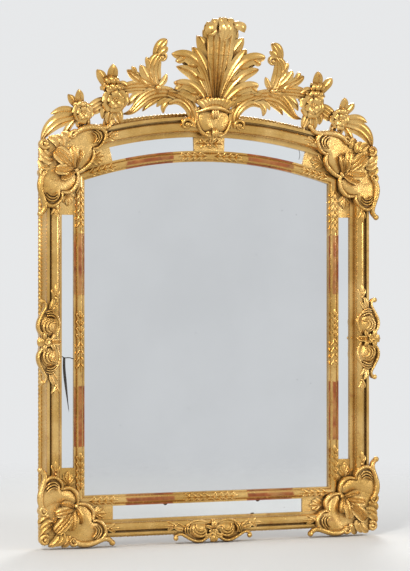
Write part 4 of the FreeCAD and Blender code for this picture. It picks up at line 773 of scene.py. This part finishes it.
def make_corner(level, side, name):
    """Two cells inside C-scrolls, and a palm of leaves between them."""
    c = Carving(f"corner_leaves_{level}_{name}", corner_plane(level, side))
    ground = ((-8, 165, 40), (-20, 130, 40), (-18, 88, 40), (-6, 66, 40), (-22, 38, 38), (-22, 2, 38),
              (-12, -12, 38), (2, -22, 38), (38, -22, 38), (66, -6, 40), (88, -18, 40), (130, -20, 40),
              (165, -8, 40), (164, 24, 36), (138, 42, 30), (122, 72, 18), (92, 92, 20), (72, 122, 18),
              (42, 138, 30), (24, 164, 36))
    c.dome(ground, (52, 52), low=6, top=40)
    cells = both((-14, 90, 42), (-20, 124, 42), (-13, 150, 42), (3, 168, 42), (20, 172, 42),
                 (35, 163, 40), (42, 149, 37), (46, 139, 35), (68, 141, 29), (87, 127, 28),
                 (93, 102, 31), (54, 88, 33), (16, 82, 33))
    for outline in cells:
        c.dome(outline, np.mean(outline, axis=0)[:2], low=6, top=44)
    rims = both((-22, 200, 38), (-9, 186, 41), (-10, 166, 42), (-23, 128, 42), (-21, 98, 42),
                (-12, 82, 42))
    for path in rims:
        c.ridge(path, (7, 8, 9, 10, 8), high=13, low=12)
    for spot in both((-22, 200, 40)):
        c.ball(spot[0], 9)
    c.volute((-12, 78, 42), 13, start=120, turns=1.2, half=6, high=12, low=20)
    c.volute((78, -12, 42), 13, start=-30, turns=-1.2, half=6, high=12, low=20)
    for path in both((94, 90, 31), (96, 108, 31), (90, 130, 30), (70, 145, 31), (46, 141, 36)):
        c.ridge(path, (4, 6, 7, 6, 4), high=9)
    lips = both((44, 140, 37), (46, 153, 38), (38, 167, 41), (20, 178, 43), (2, 175, 44), (-14, 158, 43))
    for path in lips:
        c.ridge(path, (4, 5, 6, 6, 5), high=10)
    for k in range(3):
        rise = 45 + 2 * k
        wide = 3.4 - 0.4 * k
        lines = both((-9 + 3 * k, 148 - 6 * k, rise), (4 + k, 161 - 8 * k, rise),
                     (20, 164 - 8 * k, rise), (32 - 2 * k, 154 - 7 * k, rise))
        for path in lines:
            c.ridge(path, (2, wide, wide, 2), high=6, low=8)
    root = (88, 86, 30)
    c.blade((root, (66, 64, 47), (43, 41, 54), (18, 16, 50)), 19, thick=12, flutes=4, hollow=0.45,
            root=0.3, widest=0.72, blunt=1.0, low=14)
    for spine in both(root, (74, 91, 42), (57, 97, 50), (38, 99, 49)):
        c.blade(spine, 11, thick=10, flutes=3, hollow=0.45, root=0.3, widest=0.66, blunt=0.9, low=12)
    for spine in both(root, (69, 79, 45), (46, 77, 53), (20, 71, 50)):
        c.blade(spine, 15, thick=11, flutes=3, hollow=0.45, root=0.3, widest=0.7, blunt=1.0, low=12)
    for spine in both(root, (66, 71, 44), (46, 57, 48), (28, 46, 46)):
        c.blade(spine, 9, thick=9, root=0.4, widest=0.6, blunt=0.8, low=10)
    c.ball((90, 88, 33), 8)
    for spine in (*both((4, 62, 40), (-12, 60, 42), (-28, 43, 36)),
                  *both((10, 36, 40), (-10, 26, 42), (-25, 3, 36))):
        c.blade(spine, 12, thick=9, widest=0.4, low=16)
    for spine in both((14, 46, 42), (-6, 44, 44), (-25, 25, 38)):
        c.blade(spine, 10, thick=9, widest=0.4, low=16)
    c.volute((-8, -6, 40), 15, start=45, turns=1.3, half=7, high=11, low=20)
    c.make(gilt_grained, f"corner_carving_{level}_{name}")


def make_cartouche(name, place):
    """Two swirling cells end to end, with a small flower between them."""
    c = Carving(f"cartouche_shell_{name}", place)
    for end in (1, -1):
        at = mirror(end)
        ground = at((2, 18, 38), (34, 24, 38), (62, 22, 38), (86, 6, 38), (92, -14, 36), (78, -30, 30),
                    (46, -39, 26), (8, -34, 28))
        c.dome(ground, (end * 46, -8), low=4, top=40)
        cell = at((9, -8, 40), (20, 13, 40), (43, 21, 41), (65, 14, 41), (77, -6, 40), (71, -23, 38),
                  (50, -32, 35), (24, -27, 36))
        c.dome(cell, (end * 44, -7), low=20, top=52)
        for turn in range(3):
            near = 10 - 9 * turn
            rise = 2 * turn
            path = at((22 + 4 * turn, -4 - 6 * turn, 44 + rise), (28 + 3 * turn, near, 46 + rise),
                      (46, near + 4, 47 + rise), (62 - 3 * turn, near - 5, 45 + rise),
                      (66 - 5 * turn, near - 18, 42 + 3 * turn))
            c.ridge(path, (2, 4, 4.5, 4, 2), high=6, low=8)
        c.ridge(at((122, 12, 38), (104, 4, 40), (84, 15, 40), (58, 28, 40), (34, 27, 40), (20, 16, 42)),
                (4, 5, 5, 6, 5), high=11)
        c.ball((end * 119, 17, 40), 8)
        c.volute((end * 22, 17, 44), 8, start=90 + end * 60, turns=end * 1.2, half=4, high=9, low=18)
        for k in range(3):
            c.ridge(at((88 - 6 * k, 6 - k, 43 + 2 * k), (92 - 7 * k, -10, 44 + 2 * k),
                       (84 - 7 * k, -25, 38 + 2 * k)), (2, 3, 2), high=6, low=8)
        c.ridge(at((10, -26, 36), (28, -34, 33), (52, -38, 31), (75, -29, 35), (90, -12, 40)),
                (4, 5, 6, 5, 3), high=10)
        c.blade(at((96, -8, 40), (112, -13, 42), (128, -20, 41)), 7, thick=7, root=0.6, widest=0.45,
                blunt=0.4, low=10)
        c.blade(at((92, -16, 40), (104, -24, 40), (116, -32, 37)), 6, thick=7, root=0.6, widest=0.45,
                blunt=0.4, low=10)
        c.blade(at((6, 6, 46), (16, 12, 50), (28, 10, 48)), 6, thick=6, root=0.6, blunt=0.6, low=10,
                count=14)
        c.blade(at((5, -8, 46), (14, -16, 50), (25, -18, 46)), 6, thick=6, root=0.6, blunt=0.6, low=10,
                count=14)
    c.flower((0, 2, 44), 15, petals=6, turn=30)
    c.blade(((0, -10, 46), (0, -24, 50), (0, -40, 40)), 9, flutes=3, root=0.6, widest=0.45, low=12)
    c.ball((0, -38, 40), 5)
    c.blade(((0, 10, 44), (0, 21, 46), (0, 32, 41)), 12, thick=9, hollow=0.3, root=0.6, widest=0.55,
            blunt=1.0, low=16)
    c.make(gilt_grained, f"cartouche_{name}")


# Small carving on the mouldings and panels


def fan(c, foot, way, long, half, blades, spread, h, lift):
    """Leaves that fan out from a foot on the plane of the front."""
    heading = math.atan2(way[1], way[0])
    for k in range(blades):
        turn = spread * (2 * k / (blades - 1) - 1)
        reach = long * (1 - 0.3 * abs(turn) / spread)
        halfway = heading + 0.8 * turn
        bent = heading + 1.25 * turn
        middle = (foot[0] + 0.5 * reach * math.cos(halfway), foot[1] + 0.5 * reach * math.sin(halfway))
        tip = (foot[0] + reach * math.cos(bent), foot[1] + reach * math.sin(bent))
        drop = 7 * abs(turn) * lift
        c.blade(((*foot, h), (*middle, h + 2 * lift - 0.4 * drop), (*tip, h - drop)), half, thick=6,
                root=0.5, widest=0.55, blunt=0.6, low=5, count=12)


def make_sprigs():
    """Leaf sprigs on the rounded outer moulding, beyond the corners and cartouches."""
    c = Carving("moulding_sprigs", front_plane)
    feet = []
    for side in (1, -1):
        x = side * TORUS_X
        feet += [((x, z), (0, way)) for z, way in ((124, 1), (390, -1), (640, 1), (914, -1))]
        feet += [((side * 337, TORUS_Z), (-side, 0)), ((side * 116, TORUS_Z), (side, 0))]
        feet.append((arch_spot(TORUS_R, side * 340), (-side, 0.24)))
    for foot, way in feet:
        fan(c, foot, way, long=44, half=6, blades=3, spread=0.34, h=37, lift=1)
        out = np.array(way) / np.linalg.norm(way)
        for reach, size in ((3, 5), (14, 3.5), (25, 3)):
            c.ball((foot[0] + reach * out[0], foot[1] + reach * out[1], 41), size)
    c.make(gilt)


def make_foliage():
    """Runs of small leaves carved on the inner moulding at its corners and centres."""
    c = Carving("inner_foliage", front_plane)
    runs = []
    for side in (1, -1):
        x = side * INNER_X
        runs += [((x, low), (x, high)) for low, high in ((515, 605), (515, 425), (75, 185), (972, 850))]
        runs += [((0, INNER_Z), (side * 88, INNER_Z)), ((side * 385, INNER_Z), (side * 292, INNER_Z))]
        runs += [(arch_spot(INNER_R, side * 385), arch_spot(INNER_R, side * 300))]
        runs += [(arch_spot(INNER_R, side * 12), arch_spot(INNER_R, side * 96))]
    for start, end in runs:
        way = np.subtract(end, start)
        long = np.linalg.norm(way)
        way = way / long
        for k in range(int(long / 20)):
            foot = tuple(np.add(start, way * 20 * k))
            fan(c, foot, tuple(way), long=34, half=5, blades=3, spread=0.4, h=15, lift=0.5)
    c.make(gilt)


def make_panel_fans():
    """Fans of leaves on the flat panels between the mirror strips, and the small rose over the arch."""
    c = Carving("panel_fans", front_plane)
    for side in (1, -1):
        x = side * STRIP_X
        feet = (((x, 85), (0, 1)), ((x, 962), (0, -1)), ((side * 376, STRIP_Z), (-side, 0)),
                (arch_spot(STRIP_R, side * 380), (-side, 0.27)))
        for foot, way in feet:
            fan(c, foot, way, long=48, half=9, blades=5, spread=0.55, h=9, lift=0.3)
        fan(c, (side * 10, STRIP_R + ARCH_Z), (side, 0), long=34, half=6, blades=3, spread=0.5, h=7,
            lift=0.2)
    c.flower((0, STRIP_R + ARCH_Z, 5), 14, petals=6)
    c.make(gilt_grained)


def make_rope():
    """Three twisted strands along the rear outer edge."""
    c = Carving("rope_bead", lambda p: p)
    step = 3.0
    pitch = 36
    core, swelling = 6.5, 2.0
    runs = [[(side * ROPE_X, z) for z in np.arange(-62, 1086, step)] for side in (1, -1)]
    runs.append([(x, ROPE_Z) for x in np.arange(-522, 522.1, step)])
    runs.append([arch_spot(ROPE_R, x) for x in np.arange(-516, 516.1, step)])
    turn = np.linspace(0, 2 * np.pi, 15, endpoint=False)
    cosine = np.cos(turn)[None, :, None]
    sine = np.sin(turn)[None, :, None]
    for run in runs:
        line = np.array([(x, ROPE_Y, z) for x, z in run])
        way = np.gradient(line, axis=0)
        way /= np.linalg.norm(way, axis=1)[:, None]
        out = np.cross(way, (0, 1, 0))
        twist = 2 * np.pi * step * np.arange(len(line)) / pitch
        strand = core + swelling * np.abs(np.cos(1.5 * (turn[None] - twist[:, None])))
        ring = cosine * out[:, None] + sine * np.array((0, 1.0, 0))
        c.loft(line[:, None] + ring * strand[..., None])
    c.make(gilt)


def make_cracks():
    """Cracks in the left and the top right strip, and chips along the bottom one."""
    c = Carving("strip_cracks", front_plane)
    c.ridge(((-465, 471, 3), (-455, 466, 3), (-442, 467, 3), (-429, 463, 3)), 1.8, high=0.9, low=1)
    c.ridge(((-457, 468, 3), (-457, 430, 3), (-449, 360, 3), (-440, 290, 3), (-431, 252, 3),
             (-446, 236, 3), (-465, 226, 3)), (5, 5.5, 3.6, 2.6, 2.0), high=0.9, low=1)
    c.ridge(((296, 1100, 3), (301, 1080, 3), (297, 1066, 3)), 1.0, high=0.9, low=1, count=16)
    for x, z in ((-140, 24), (160, 24), (142, -14)):
        c.blade(((x - 7, z, 3), (x, z - 2, 3), (x + 8, z, 3)), 2.4, thick=0.9, flutes=1, hollow=0.1,
                root=0.3, low=1, count=9)
    piece = c.make(crack_dark)


make_palmette()
make_palmette_tip()
make_console()
for side, name in SIDES:
    make_scroll(side, name)
    make_branch(side, name)
    make_inner_flower(side, name)
    make_outer_flower(side, name)
    make_corner("bottom", side, name)
    make_corner("top", side, name)
    make_cartouche(name, side_plane(side))
make_cartouche("bottom", bottom_plane)
make_sprigs()
make_foliage()
make_panel_fans()
make_rope()
make_cracks()


# Floor, light and camera


def make_floor():
    """A round floor that fades out towards its edge."""
    bpy.ops.mesh.primitive_circle_add(vertices=96, radius=FLOOR_RADIUS, fill_type="NGON",
                                      location=(0, -0.1, cad_low.z))
    floor = bpy.context.object
    floor.name = "floor"
    s = Shader("floor_pale")
    spot = s.node("ShaderNodeVectorMath", {0: s.place}, operation="LENGTH").outputs["Value"]
    s.set(Base_Color=FLOOR_PALE, Roughness=0.7, Alpha=s.reach(spot, 1.1, 3.1, 1.0, 0.0))
    floor.data.materials.append(s.material)


def make_world():
    """A pale room, dimmer to the sides, that lights the part less than it shows itself."""
    world = bpy.data.worlds.new("studio")
    bpy.context.scene.world = world
    world.use_nodes = True
    tree = world.node_tree
    tree.nodes.clear()
    way = add_node(tree, "ShaderNodeTexCoord").outputs["Generated"]
    across = add_node(tree, "ShaderNodeSeparateXYZ", {"Vector": way}).outputs[0]
    sideways = add_node(tree, "ShaderNodeMath", {0: across}, operation="ABSOLUTE").outputs[0]
    span = {"Value": sideways, "From Min": 0.45, "From Max": 0.95, "To Min": 0.0, "To Max": 1.0}
    level = add_node(tree, "ShaderNodeMapRange", span, interpolation_type="SMOOTHSTEP").outputs[0]
    colours = {0: level, 6: ROOM_AHEAD, 7: ROOM_BESIDE}
    colour = add_node(tree, "ShaderNodeMix", colours, data_type="RGBA").outputs[2]
    rays = add_node(tree, "ShaderNodeLightPath")
    seen = rays.outputs["Is Camera Ray"]
    for kind in ("Is Glossy Ray", "Is Transmission Ray"):
        pair = {0: seen, 1: rays.outputs[kind]}
        seen = add_node(tree, "ShaderNodeMath", pair, operation="MAXIMUM").outputs[0]
    span = {"Value": seen, "To Min": 0.55, "To Max": 1.0}
    strength = add_node(tree, "ShaderNodeMapRange", span).outputs[0]
    back = add_node(tree, "ShaderNodeBackground", {"Color": colour, "Strength": strength})
    add_node(tree, "ShaderNodeOutputWorld", {"Surface": back.outputs[0]})


def make_lamp(name, place, aim, size, power, colour):
    """A round lamp that points at a height over the origin."""
    data = bpy.data.lights.new(name, "AREA")
    data.shape = "DISK"
    data.size = size
    data.energy = power
    data.color = colour
    lamp = bpy.data.objects.new(name, data)
    bpy.context.scene.collection.objects.link(lamp)
    lamp.location = place
    way = np.subtract((0, 0, aim), place)
    tilt = math.atan2(np.hypot(way[0], way[1]), -way[2])
    lamp.rotation_euler = (tilt, 0, math.atan2(-way[0], way[1]))


def make_camera():
    """The view of the photo, from about mid height and to the left."""
    data = bpy.data.cameras.new("camera")
    data.lens = CAMERA_LENS
    data.shift_y = CAMERA_SHIFT
    camera = bpy.data.objects.new("camera", data)
    bpy.context.scene.collection.objects.link(camera)
    camera.location = CAMERA_PLACE
    camera.rotation_euler = (math.radians(90), 0, CAMERA_TURN)
    bpy.context.scene.camera = camera


make_floor()
make_world()
make_lamp("key", (-2.6, -3.2, 3.2), aim=0.7, size=0.9, power=125, colour=(1.0, 0.97, 0.92))
make_lamp("left", (-3.6, -0.9, 2.0), aim=0.7, size=1.2, power=45, colour=(1.0, 0.98, 0.95))
make_lamp("fill", (3.2, -2.6, 1.6), aim=0.6, size=1.4, power=60, colour=(0.95, 0.97, 1.0))
make_lamp("rim", (1.5, 2.8, 2.6), aim=0.8, size=1.2, power=60, colour=(1.0, 1.0, 1.0))
make_camera()
bpy.context.scene.view_settings.view_transform = "Standard"
